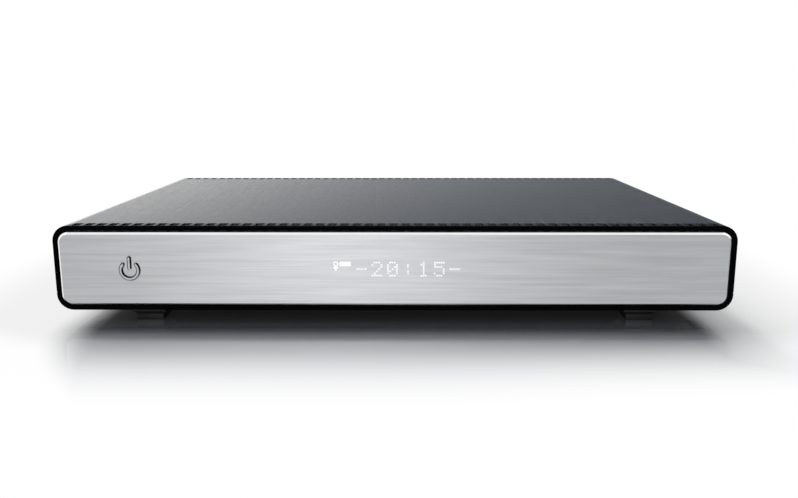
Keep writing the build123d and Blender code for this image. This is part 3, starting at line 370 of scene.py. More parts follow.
@dataclass(frozen=True)
class BrushedMetal(Finish):
    """Silver panel with long horizontal brush lines and a cut, polished chamfer, on which a painted highlight
    glows where it turns to the left and at the upper right corner.
    """

    roughness: float = 0.34
    line_depth: float = 0.0022
    stretch: float = 0.95
    stretch_turn: float = 0.25
    polish: float = 0.14
    # strength of the painted highlight, an emission on the chamfer that stands in for reflected light
    painted_glint: float = 0.9
    painted_glint_turn: Pair = (0.03, 0.12)

    def brushed(self, tree: ShaderTree) -> Tuple[Signal, Signal, Signal]:
        """Make the brushed face.

        Args:
            tree: The material's node tree.

        Returns:
            Its colour, roughness and height.
        """
        fine = tree.streaks((30.0, 30.0, 5200.0), 2.0)
        long = tree.streaks((16.0, 16.0, 1200.0), 2.0)
        band = tree.streaks((26.0, 26.0, 460.0), 1.0)
        line = 0.3 * fine + 0.35 * long + 0.35 * band
        colour = tree.mix(line.rise(0.3, 0.7), self.shade(0.86), self.shade(1.13))
        colour = tree.mix(tree.noise(60.0, 2.0) * 0.25, colour, self.shade(0.97))
        rough = self.roughness + 0.14 * (fine - 0.5) + 0.08 * (long - 0.5)
        return colour, rough, line

    def drawn(self, tree: ShaderTree, colour: Signal, metal: Term, rough: Signal, line: Signal) -> Signal:
        """Return a surface whose glints the brush lines draw out."""
        turn = {"Anisotropic": self.stretch, "Anisotropic_Rotation": self.stretch_turn}
        return tree.coat(colour, rough, tree.bump(line, self.line_depth), Metallic=metal, **turn)

    def surface(self, tree: ShaderTree) -> Signal:
        """Return the panel's shader."""
        colour, rough, line = self.brushed(tree)
        facing = tree.normal()
        forward, upward = -facing.other("Y"), facing.other("Z")
        face = forward.rise(0.85, 0.98)
        brushed = self.drawn(tree, colour, 1.0, rough, line * face)
        # painted highlight: the chamfer glows white where it turns left, and at the upper right corner arc
        corner = facing.rise(*self.painted_glint_turn) * upward.rise(0.2, 0.5)
        painted_glint_mask = (-facing).rise(*self.painted_glint_turn).at_least(corner) * forward.rise(0.4, 0.6)
        polished = tree.coat(
            tree.mix(line, (0.9, 0.905, 0.91), (0.96, 0.965, 0.97)),
            self.polish + 0.04 * (line - 0.5),
            Metallic=1.0,
            Emission_Color=tree.mix(painted_glint_mask, (0.0, 0.0, 0.0), (1.0, 1.0, 1.0)),
            Emission_Strength=self.painted_glint,
        )
        return tree.blend((1.0 - face) * upward.rise(-0.5, -0.1), brushed, polished)


@dataclass(frozen=True)
class KeyFinish(BrushedMetal):
    """Power key: a brushed silver front on a gloss black moulding."""

    gloss: float = 0.14
    black: Colour = (0.004, 0.004, 0.005)

    def surface(self, tree: ShaderTree) -> Signal:
        """Return the key's shader."""
        colour, rough, line = self.brushed(tree)
        face = (-tree.normal().other("Y")).rise(0.3, 0.6)
        wall = 1.0 - face
        colour = tree.mix(wall, colour, self.black)
        return self.drawn(tree, colour, face, rough * face + self.gloss * wall, line * face)


@dataclass(frozen=True)
class PlatedMetal(Finish):
    """Plated or bare sheet metal with fine scratches, dull patches and bright edges."""

    roughness: float = 0.3
    scratch: float = 0.4
    edge: float = 0.2

    def surface(self, tree: ShaderTree) -> Signal:
        """Return the metal's shader."""
        scratches = tree.streaks((2600.0, 120.0, 2600.0), 2.0, 0.4)
        patch = tree.noise(7.0, 4.0)
        rounded, edges = tree.worn_edges(self.edge)
        colour = tree.mix(patch, self.shade(0.86), self.shade(1.06))
        colour = tree.mix(edges * 0.5, colour, self.shade(1.2))
        rough = self.roughness + self.scratch * 0.2 * (scratches - 0.5) + 0.16 * (patch - 0.5)
        return tree.coat(colour, rough, tree.bump(scratches, 0.004 * self.scratch, rounded), Metallic=1.0)


@dataclass(frozen=True)
class PaintedSheet(Finish):
    """Steel sheet under a black powder coat with a fine orange-peel skin."""

    def surface(self, tree: ShaderTree) -> Signal:
        """Return the painted sheet's shader."""
        peel = tree.noise(0.9, 3.0)
        dust = tree.noise(0.16, 2.0)
        cloud = tree.noise(30.0, 2.0)
        rounded, edges = tree.worn_edges(0.2)
        colour = tree.mix(cloud, self.shade(0.85), self.shade(1.15))
        colour = tree.mix(dust.rise(0.62, 0.78) * 0.5, colour, self.shade(1.9))
        colour = tree.mix(edges * 0.4, colour, self.shade(2.4))
        rough = 0.42 + 0.14 * (peel - 0.5) + 0.08 * (cloud - 0.5)
        return tree.coat(colour, rough, tree.bump(peel + 0.4 * dust, 0.03, rounded), shine=0.45)


@dataclass(frozen=True)
class Rubber(Finish):
    """Dark moulded rubber with a slight bloom, and every edge lighter from rubbing and from a painted
    highlight.
    """

    def surface(self, tree: ShaderTree) -> Signal:
        """Return the rubber's shader."""
        grain = tree.noise(0.25, 3.0)
        bloom = tree.noise(4.0, 4.0)
        rounded, edges = tree.worn_edges(0.4)
        colour = tree.mix(bloom.rise(0.45, 0.75), self.shade(0.9), self.shade(1.5))
        # lighter edges: rubbed wear and a painted highlight
        colour = tree.mix(edges * 0.8, colour, self.shade(4.5))
        rough = 0.42 + 0.16 * (bloom - 0.5) + 0.1 * (grain - 0.5)
        return tree.coat(colour, rough, tree.bump(grain, 0.01, rounded), shine=0.35)


@dataclass(frozen=True)
class CircuitBoard(Finish):
    """Green board with copper runs under the solder mask."""

    def surface(self, tree: ShaderTree) -> Signal:
        """Return the board's shader."""
        sockets: Sockets = {"Vector": tree.place(turn=math.pi / 4), "Scale": 260.0}
        sockets.update({"Mortar Size": 0.035, "Mortar Smooth": 0.2})
        runs = tree.add("ShaderNodeTexBrick", sockets, "Fac", offset=0.37, squash=0.7)
        weave = tree.noise(0.5, 2.0)
        cloud = tree.noise(18.0, 3.0)
        colour = tree.mix(cloud, self.shade(0.8), self.shade(1.2))
        colour = tree.mix(runs * 0.55, colour, self.shade(2.2))
        return tree.coat(colour, 0.3 + 0.12 * (weave - 0.5), tree.bump(runs + 0.2 * weave, 0.03))


@dataclass(frozen=True)
class LitMark(Finish):
    """Light of the display coming out through the panel, with a faint grain."""

    glow: float = 0.68

    def surface(self, tree: ShaderTree) -> Signal:
        """Return the lit dot's shader."""
        grain = tree.noise(0.3, 2.0)
        colour = tree.mix(grain, self.shade(0.96), self.shade(1.0))
        rough = 0.5 + 0.1 * (grain - 0.5)
        return tree.coat(colour, rough, Emission_Color=colour, Emission_Strength=self.glow)


FINISHES: Dict[str, Finish] = {
    "shell_black": SatinShell("shell_black_satin", (0.007, 0.0105, 0.016)),
    "inner_black": MouldedPlastic("inner_black_plastic", (0.012, 0.012, 0.013), roughness=0.55),
    "rocker_black": MouldedPlastic("rocker_black_plastic", (0.014, 0.014, 0.015), roughness=0.35, grain=0.25),
    "foot_rubber": Rubber("foot_rubber_black", (0.017, 0.017, 0.0178)),
    "panel_silver": BrushedMetal("panel_brushed_silver", (0.535, 0.54, 0.555)),
    "key_silver": KeyFinish("key_brushed_silver", (0.535, 0.54, 0.555)),
    "plunger_grey": MouldedPlastic("plunger_grey_plastic", (0.32, 0.33, 0.34), roughness=0.4),
    "board_green": CircuitBoard("board_green_mask", (0.015, 0.09, 0.035)),
    "chip_black": MouldedPlastic("chip_black_epoxy", (0.02, 0.02, 0.022), roughness=0.5, grain=0.2),
    "display_black": MouldedPlastic("display_black_glass", (0.008, 0.008, 0.009), roughness=0.15),
    "diffuser_white": MouldedPlastic("diffuser_white_plastic", (0.82, 0.83, 0.84), roughness=0.4),
    "pad_grey": MouldedPlastic("pad_grey_silicone", (0.36, 0.37, 0.39), roughness=0.7),
    "sink_aluminium": PlatedMetal("sink_bare_aluminium", (0.72, 0.73, 0.74), roughness=0.38),
    "sheet_steel": PlatedMetal("sheet_tinned_steel", (0.66, 0.67, 0.68), roughness=0.28),
    "rear_black": PaintedSheet("rear_black_coat", (0.017, 0.017, 0.018)),
    "screw_steel": PlatedMetal("screw_dark_zinc", (0.32, 0.32, 0.33), roughness=0.3),
    "nickel": PlatedMetal("nickel_plate", (0.7, 0.69, 0.66), roughness=0.2),
    "contact_gold": PlatedMetal("contact_gold_flash", (0.86, 0.62, 0.24), roughness=0.22),
    "insulator_white": MouldedPlastic("insulator_white_plastic", (0.82, 0.82, 0.79), roughness=0.4),
    "capacitor_sleeve": MouldedPlastic("capacitor_blue_sleeve", (0.02, 0.03, 0.075), roughness=0.25),
    "ferrite": MouldedPlastic("ferrite_grey", (0.09, 0.09, 0.095), roughness=0.65, grain=0.5),
}
LIT = LitMark("display_light", (0.94, 0.95, 0.95))


# --- modelling
def hold(thing: bpy.types.Object) -> None:
    """Select an object alone and make it active."""
    bpy.ops.object.select_all(action="DESELECT")
    thing.select_set(True)
    bpy.context.view_layer.objects.active = thing


class Blank:
    """A mesh that is shaped step by step with the modelling operators."""

    smooth = 35.0

    def __init__(self, name: str) -> None:
        """Take the active object, which a primitive has just made, and name it."""
        self.thing = bpy.context.view_layer.objects.active
        self.thing.name = name
        self.thing.data.name = name

    @classmethod
    def lathe(cls, name: str, rings: Sequence[Pair], sides: int) -> "Blank":
        """Turn a closed solid about Z.

        Args:
            name: The piece's name.
            rings: Radius and height of each ring in millimetres, from the bottom up.
            sides: Number of sides of a ring.

        Returns:
            The turned blank.
        """
        radius, height = rings[0]
        place = (0.0, 0.0, height * MM)
        bpy.ops.mesh.primitive_circle_add(
            vertices=sides, radius=radius * MM, fill_type="NGON", location=place
        )
        blank = cls(name)
        bpy.ops.object.transform_apply(location=True)
        blank.open()
        for wide, high in rings[1:]:
            blank.draw_out((0.0, 0.0, high - height), wide / radius)
            radius, height = wide, high
        blank.close()
        return blank

    @classmethod
    def block(cls, name: str, low: Point, high: Point) -> "Blank":
        """Start from a box.

        Args:
            name: The piece's name.
            low: The box's lowest corner in millimetres.
            high: Its highest corner.

        Returns:
            The box.
        """
        centre = [(a + b) / 2 * MM for a, b in zip(low, high)]
        bpy.ops.mesh.primitive_cube_add(size=1.0, location=centre)
        blank = cls(name)
        blank.thing.scale = [(b - a) * MM for a, b in zip(low, high)]
        bpy.ops.object.transform_apply(location=True, scale=True)
        return blank

    @classmethod
    def plate(cls, name: str, sides: int, radius: float, height: float, rim: float = 0.0) -> "Blank":
        """Start from a flat plate about Z.

        Args:
            name: The piece's name.
            sides: Number of corners.
            radius: Distance of the corners from the middle in millimetres.
            height: Thickness in millimetres.
            rim: Width of the rim that stays round a hole, or 0 for no hole.

        Returns:
            The plate, from Z 0 up.
        """
        bpy.ops.mesh.primitive_circle_add(vertices=sides, radius=radius * MM, fill_type="NGON")
        blank = cls(name)
        blank.open()
        if rim:
            bpy.ops.mesh.inset(thickness=rim * MM)
            bpy.ops.mesh.delete(type="FACE")
            bpy.ops.mesh.select_all(action="SELECT")
        blank.draw_out((0.0, 0.0, height))
        blank.close()
        return blank

    def open(self) -> None:
        """Go into edit mode with everything selected."""
        hold(self.thing)
        bpy.ops.object.mode_set(mode="EDIT")
        bpy.ops.mesh.select_mode(type="FACE")
        bpy.ops.mesh.select_all(action="SELECT")

    def close(self) -> None:
        """Merge doubles, turn the faces outwards and leave edit mode."""
        bpy.ops.mesh.select_all(action="SELECT")
        bpy.ops.mesh.remove_doubles(threshold=1e-7)
        bpy.ops.mesh.normals_make_consistent(inside=False)
        self.shut()

    @staticmethod
    def shut() -> None:
        """Leave edit mode."""
        bpy.ops.object.mode_set(mode="OBJECT")

    def edit(self, test: Callable[[Vector], bool]) -> None:
        """Go into edit mode with the faces selected that pass a test.

        Args:
            test: Takes a face's normal.
        """
        self.open()
        bpy.ops.mesh.select_all(action="DESELECT")
        mesh = bmesh.from_edit_mesh(self.thing.data)
        for face in mesh.faces:
            face.select_set(test(face.normal))
        bmesh.update_edit_mesh(self.thing.data)

    def draw_out(self, step: Point, share: float = 1.0) -> None:
        """Extrude the selected faces by a step in millimetres, and scale them about their middle."""
        bpy.ops.mesh.extrude_region_move(TRANSFORM_OT_translate={"value": [part * MM for part in step]})
        bpy.ops.transform.resize(value=(share, share, share))

    def soften(self, width: float, segments: int = 2, limit: float = 30.0) -> None:
        """Round the edges with a Bevel modifier and apply it.

        Args:
            width: The bevel's width in millimetres.
            segments: Its number of segments.
            limit: Edges sharper than this angle in degrees are rounded.
        """
        hold(self.thing)
        bevel = self.thing.modifiers.new("soften", "BEVEL")
        bevel.width = width * MM
        bevel.segments = segments
        bevel.limit_method = "ANGLE"
        bevel.angle_limit = math.radians(limit)
        bpy.ops.object.modifier_apply(modifier=bevel.name)

    def cut(self, tool: "Blank") -> None:
        """Take another piece's shape out of this one.

        Args:
            tool: The other piece, which is then deleted.
        """
        hold(self.thing)
        boolean = self.thing.modifiers.new("cut", "BOOLEAN")
        boolean.operation = "DIFFERENCE"
        boolean.solver = "EXACT"
        boolean.object = tool.thing
        bpy.ops.object.modifier_apply(modifier=boolean.name)
        bpy.data.objects.remove(tool.thing)

    def turn(self, facing: Facing, spin: float = 0.0, lean: float = 0.0) -> None:
        """Turn the piece and apply it.

        Args:
            facing: Where its own axis ends up pointing.
            spin: Angle about its own axis, before that, in radians.
            lean: Angle about the vertical, after that, in radians.
        """
        hold(self.thing)
        self.thing.data.transform(Matrix.Rotation(spin, 4, "Z"))
        self.thing.rotation_euler = (facing.value, 0.0, lean)
        bpy.ops.object.transform_apply(rotation=True)

    def move(self, place: Point) -> None:
        """Move the piece by a distance in millimetres and apply it."""
        hold(self.thing)
        self.thing.location = [part * MM for part in place]
        bpy.ops.object.transform_apply(location=True)

    def copies(self, places: Sequence[Point]) -> None:
        """Leave a copy at each place, with its own mesh, and join them into this piece.

        Args:
            places: Moves in millimetres, one for each copy.
        """
        made: List[Blank] = []
        for place in places[1:]:
            hold(self.thing)
            bpy.ops.object.duplicate(linked=False)
            copy = Blank(f"{self.thing.name}_copy")
            copy.thing.location = [part * MM for part in place]
            made.append(copy)
        self.thing.location = [part * MM for part in places[0]]
        self.join(made)

    def join(self, others: Sequence["Blank"]) -> None:
        """Join other pieces into this one and apply its place.

        Args:
            others: The pieces that become part of this one.
        """
        hold(self.thing)
        for other in others:
            other.thing.select_set(True)
        if others:
            bpy.ops.object.join()
        bpy.ops.object.transform_apply(location=True, rotation=True, scale=True)

    def finish(
        self, slot: str, nodes: Sequence[str] = (), body: Body = Body.CHASSIS, look: Optional[Finish] = None
    ) -> None:
        """Dress the piece and hand it to its body.

        Args:
            slot: The record's material slot.
            nodes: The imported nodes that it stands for.
            body: The body that it rides on.
            look: Its finish, where it isn't the slot's own.
        """
        hold(self.thing)
        bpy.ops.object.shade_smooth_by_angle(angle=math.radians(self.smooth))
        self.thing.data.materials.clear()
        self.thing.data.materials.append((look or FINISHES[slot]).material())
        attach(self.thing, body.value)
        if nodes:
            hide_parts(*nodes)
        LOG.info("piece %s on %s, %d faces", self.thing.name, body.value, len(self.thing.data.polygons))


def span(node: str) -> Tuple[Vector, Vector, Vector]:
    """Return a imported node's lowest corner, highest corner and middle in millimetres."""
    low, high = (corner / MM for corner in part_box(node))
    return low, high, (low + high) / 2


# --- sub-assemblies
SIGNS: Dict[str, Tuple[str, ...]] = {
    "-": ("", "", "", "#####"),
    ":": ("", "  #", "  #", "", "  #", "  #"),
    "0": (" ###", "#   #", "#  ##", "# # #", "##  #", "#   #", " ###"),
    "1": ("  #", " ##", "  #", "  #", "  #", "  #", " ###"),
    "2": (" ###", "#   #", "    #", "   #", "  #", " #", "#####"),
    "5": ("#####", "#", "####", "    #", "    #", "#   #", " ###"),
}


@dataclass
class Housing:
    """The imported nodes, each dressed in its slot's finish."""

    def build(self) -> None:
        """Put each node's finish in its material slots."""
        slots = {part["node"]: part["material_slot"] for part in frame["record"]["subparts"]}
        for node, thing in frame["nodes"].items():
            finish = FINISHES[slots[node]]
            thing.data.materials.clear()
            thing.data.materials.append(finish.material())
            LOG.info("node %s in %s", node, finish.name)


@dataclass
class PanelPlate:
    """The front panel with finely turned corners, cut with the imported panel's own opening."""

    radius: float = 4.85
    chamfer: float = 0.9
    segments: int = 12
    margin: float = 0.1
    stretch: float = 2.0
    tiny: float = 0.01
    level: float = 0.5
    flat: float = 0.99

    def opening(self, front: float, back: float) -> Blank:
        """Cast the key's opening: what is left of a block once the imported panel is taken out.

        Args:
            front: The panel's front face in millimetres.
            back: Its back face.

        Returns:
            The opening as a solid that reaches through the panel.
        """
        low, high, _ = span("power_key")
        start, end = front + self.chamfer + self.margin, back - self.margin
        cast = Blank.block("opening", (low.x, start, low.z), (high.x, end, high.z))
        hold(frame["nodes"]["front_panel"])
        bpy.ops.object.duplicate(linked=False)
        mould = Blank("panel_mould")
        mould.open()
        mould.close()
        cast.cut(mould)
        cast.open()
        centre = (0.0, (front + self.chamfer + back) / 2 * MM, 0.0)
        share = self.stretch * (back - front) / (end - start)
        bpy.ops.transform.resize(value=(1.0, share, 1.0), center_override=centre)
        cast.shut()
        return cast

    def build(self) -> None:
        """Draw the plate's outline, give it its thickness and chamfer, and cut the opening."""
        low, high, middle = span("front_panel")
        opening = self.opening(low.y, high.y)
        place = (0.0, high.y * MM, middle.z * MM)
        bpy.ops.mesh.primitive_plane_add(size=1.0, location=place, rotation=(Facing.FRONT.value, 0.0, 0.0))
        plate = Blank("front_panel_plate")
        plate.thing.scale = ((high.x - low.x) * MM, (high.z - low.z) * MM, 1.0)
        bpy.ops.object.transform_apply(location=True, rotation=True, scale=True)
        plate.open()
        bpy.ops.mesh.bevel(offset=self.radius * MM, segments=self.segments, affect="VERTICES", profile=0.5)
        bpy.ops.mesh.select_all(action="SELECT")
        plate.draw_out((0.0, self.chamfer - (high.y - low.y), 0.0))
        bpy.ops.mesh.inset(thickness=self.chamfer * MM, depth=self.chamfer * MM)
        plate.close()
        plate.cut(opening)
        plate.open()
        bpy.ops.mesh.dissolve_degenerate(threshold=self.tiny * MM)
        bpy.ops.mesh.dissolve_limited(angle_limit=math.radians(self.level))
        plate.close()
        plate.finish("panel_silver", nodes=("front_panel",))
        plate.edit(lambda normal: abs(normal.y) > self.flat)
        bpy.ops.mesh.faces_shade_flat()
        plate.shut()


@dataclass
class Readout:
    """The lit dots and marks of the display, level with the panel's face."""

    text: str = "-20:15-"
    first_x: float = -15.2
    pitch: float = 7.3
    middle_z: float = 26.1
    dot_pitch: float = 1.04
    dot_radius: float = 0.43
    proud: float = 0.03
    sunk: float = 0.08
    face_y: float = -108.3
    marks: Tuple[Pair, ...] = ((-27.15, 28.5), (-27.15, 26.42), (-22.75, 28.55))
    ring: float = 1.25
    ring_rim: float = 0.55
    arrow: float = 1.45
    badge: Pair = (2.65, 1.1)

    def places(self) -> List[Point]:
        """Return the middle of each lit dot in millimetres."""
        spots: List[Point] = []
        for number, sign in enumerate(self.text):
            for row, line in enumerate(SIGNS[sign]):
                for column, lit in enumerate(line):
                    if lit == "#":
                        x = self.first_x + number * self.pitch + (column - 2) * self.dot_pitch
                        spots.append((x, self.face_y, self.middle_z + (3 - row) * self.dot_pitch))
        return spots

    def build(self) -> None:
        """Model one dot, copy it to each place, and add the marks at the left."""
        radius, thick = self.dot_radius, self.sunk + self.proud
        rings = [(radius, -self.sunk), (radius, 0.0), (radius * 0.8, self.proud)]
        dot = Blank.lathe("display_digits", rings, 12)
        dot.turn(Facing.FRONT)
        dot.copies(self.places())
        dot.finish("diffuser_white", look=LIT)
        ring = Blank.plate("display_ring", 24, self.ring, thick, self.ring_rim)
        arrow = Blank.plate("display_arrow", 3, self.arrow, thick)
        arrow.soften(0.06, 1)
        wide, tall = self.badge
        badge = Blank.block("display_badge", (-wide, -tall, 0.0), (wide, tall, thick))
        badge.soften(0.028)
        for mark, (x, z), spin in zip((ring, arrow, badge), self.marks, (0.0, math.pi, 0.0)):
            mark.turn(Facing.FRONT, spin)
            mark.move((x, self.face_y + self.sunk, z))
            mark.finish("diffuser_white", look=LIT)


@dataclass
class Feet:
    """Four rubber feet: a pad with a hollow sole, a flared top and a plug."""

    names: Tuple[str, ...] = ("foot_front_left", "foot_front_right", "foot_rear_left", "foot_rear_right")
    pad_height: float = 2.9
    flare: float = 1.6
    wall: float = 2.5
    sole_rim: float = 1.4
    sole_depth: float = 0.5
    rounding: float = 0.3
    plug: float = 2.6
    plug_cone: float = 0.4

    def build(self) -> None:
        """Model each foot inside its node's box."""
        for name in self.names:
            low, high, middle = span(name)
            top = high.z - self.wall
            flared = self.pad_height + self.flare
            foot = Blank.block(f"{name}_pad", (low.x, low.y, flared), (high.x, high.y, top))
            foot.edit(lambda normal: normal.z < -0.5)
            foot.draw_out((0.0, 0.0, -self.flare), 1.0 - 2.0 * self.flare / (high.x - low.x))
            foot.draw_out((0.0, 0.0, -self.pad_height))
            bpy.ops.mesh.inset(thickness=self.sole_rim * MM)
            foot.draw_out((0.0, 0.0, self.sole_depth))
            foot.close()
            foot.soften(self.rounding, 3)
            cone = self.plug_cone
            rings = [(self.plug, top - 0.2), (self.plug, high.z - cone), (self.plug - cone, high.z)]
            plug = Blank.lathe("plug", rings, 24)
            plug.move((middle.x, middle.y, 0.0))
            foot.join([plug])
            foot.finish("foot_rubber", nodes=(name,))


@dataclass
class AerialSockets:
    """Two threaded aerial connectors with their nuts, insulators and spring contacts."""

    names: Tuple[str, ...] = ("aerial_connector_left", "aerial_connector_right")
    reach: float = 11.0
    radius: float = 4.76
    shank: float = 5.3
    thread_pitch: float = 0.794
    thread_depth: float = 0.42
    thread: Tuple[float, ...] = (0.1, 0.2, 0.55, 0.65)
    bore: float = 3.3
    bore_depth: float = 6.0
    mouth: float = 1.0
    nut_flats: float = 12.7
    nut_height: float = 2.4
    nut_turn: float = 0.35
    clearance: float = 0.06
    flange_height: float = 2.0

    def barrel(self, name: str) -> None:
        """Turn one connector: flange, shank, threaded barrel and bore.

        Args:
            name: The node that it stands for.
        """
        low, high, middle = span(name)
        tip, radius, root = high.y, self.radius, self.radius - self.thread_depth
        start = tip - self.reach + self.nut_height
        rings = [(self.shank, low.y + self.flange_height), (self.shank, start), (radius, start)]
        for turn in range(int((tip - start - 1.2) / self.thread_pitch)):
            foot = start + 0.4 + turn * self.thread_pitch
            rings += [(wide, foot + step) for wide, step in zip((root, root, radius, radius), self.thread)]
        rings += [(radius, tip - 0.5), (radius - 0.4, tip)]
        rings += [(self.bore, tip), (self.bore, tip - self.bore_depth)]
        body = Blank.lathe(f"{name}_barrel", rings, 48)
        flange = Blank.plate("flange", 6, self.nut_flats / math.sqrt(3), self.flange_height)
        flange.soften(0.25)
        flange.move((0.0, 0.0, low.y))
        body.join([flange])
        body.turn(Facing.BACK)
        body.move((middle.x, 0.0, middle.z))
        body.finish("nickel", nodes=(name,))

    def pair(self, piece: Blank, depth: float, spin: float = 0.0) -> None:
        """Turn a piece to the back and set a copy of it in both connectors.

        Args:
            piece: The piece, modelled along +Z.
            depth: Where its own Z 0 comes to lie, in millimetres before the connectors' tips.
            spin: Its angle about its own axis in radians.
        """
        piece.turn(Facing.BACK, spin)
        nodes = [span(name) for name in self.names]
        piece.copies([(middle.x, high.y - depth, middle.z) for low, high, middle in nodes])

    def build(self) -> None:
        """Turn both connectors, their nuts and the contacts in their mouths."""
        for name in self.names:
            self.barrel(name)
        nut = Blank.plate("connector_hex_nuts", 6, self.nut_flats / math.sqrt(3), self.nut_height)
        hole = self.shank + self.clearance
        nut.cut(Blank.lathe("bore", [(hole, -1.0), (hole, self.nut_height + 1.0)], 48))
        nut.soften(0.22, limit=40.0)
        self.pair(nut, self.reach, self.nut_turn)
        nut.finish("nickel", nodes=("connector_nuts",))
        rings = [(3.25, -5.0), (3.25, -0.4), (2.9, 0.0), (1.5, 0.0)]
        rings += [(1.2, -0.35), (0.6, -0.35), (0.6, -4.0)]
        plug = Blank.lathe("connector_dielectric", rings, 32)
        self.pair(plug, self.mouth)
        plug.finish("insulator_white", nodes=("connector_insulators",))
        rings = [(0.56, -3.9), (0.56, -0.6), (0.5, -0.45), (0.3, -0.45), (0.3, -3.5)]
        spring = Blank.lathe("connector_contacts", rings, 16)
        self.pair(spring, self.mouth)
        spring.finish("contact_gold")


@dataclass
class RearScrews:
    """Pan-head screws with a cross recess along the rear panel."""

    head_radius: float = 2.8
    head_height: float = 1.8
    recess: float = 1.7
    recess_width: float = 0.62
    recess_floor: float = 0.25
    taper: float = 0.7
    spin: float = 0.5
    profile: Tuple[Pair, ...] = ((1.0, 0.0), (1.0, 0.45), (0.93, 0.74), (0.72, 0.94), (0.4, 1.0))

    def build(self) -> None:
        """Model one screw and copy it to each place on the rear panel."""
        radius, height = self.head_radius, self.head_height
        rings = [(radius * wide, height * high) for wide, high in self.profile]
        screw = Blank.lathe("rear_pan_screws", rings, 32)
        for wide, deep in ((self.recess, self.recess_width), (self.recess_width, self.recess)):
            floor = height * self.recess_floor
            bar = Blank.block("bar", (-wide, -deep / 2, floor), (wide, deep / 2, height + 1.0))
            bar.edit(lambda normal: normal.z < -0.5)
            bpy.ops.transform.resize(value=(self.taper, self.taper, 1.0))
            bar.shut()
            screw.cut(bar)
        screw.turn(Facing.BACK, self.spin)
        face = span("rear_panel")[1].y
        low, high, _ = span("rear_screws")
        edge, top = high.x - radius, high.z - radius
        places = [(x, face, low.z + radius) for x in (-edge, edge)]
        places += [(x, face, top) for x in (-edge, 0.0, edge)]
        screw.copies(places)
        screw.finish("screw_steel", nodes=("rear_screws",))


@dataclass
class RockerMarks:
    """The on and off marks on the two faces of the mains rocker, one square to the back and one leaning."""

    sunk: float = 0.08
    proud: float = 0.04
    bar: Pair = (0.6, 3.4)
    ring: float = 1.7
    rim: float = 0.5
    ridge: float = 7.35
    reach: float = 3.47
    lean: float = -15.0

    def build(self) -> None:
        """Model a bar on the pressed half and a ring on the other."""
        _, high, middle = span("switch_rocker")
        ridge = high.x - self.ridge
        wide, tall = self.bar[0] / 2, self.bar[1] / 2
        thick = self.sunk + self.proud
        bar = Blank.block("rocker_on_mark", (-wide, -tall, 0.0), (wide, tall, thick))
        bar.turn(Facing.BACK)
        bar.move((ridge - self.reach, high.y - self.sunk, middle.z))
        lean = math.radians(self.lean)
        ring = Blank.plate("rocker_off_mark", 32, self.ring, thick, self.rim)
        ring.turn(Facing.BACK, lean=lean)
        along = self.reach * math.cos(lean) + self.sunk * math.sin(lean)
        back = self.reach * math.sin(lean) - self.sunk * math.cos(lean)
        ring.move((ridge + along, high.y + back, middle.z))
        for mark in (bar, ring):
            mark.finish("insulator_white", body=Body.ROCKER)


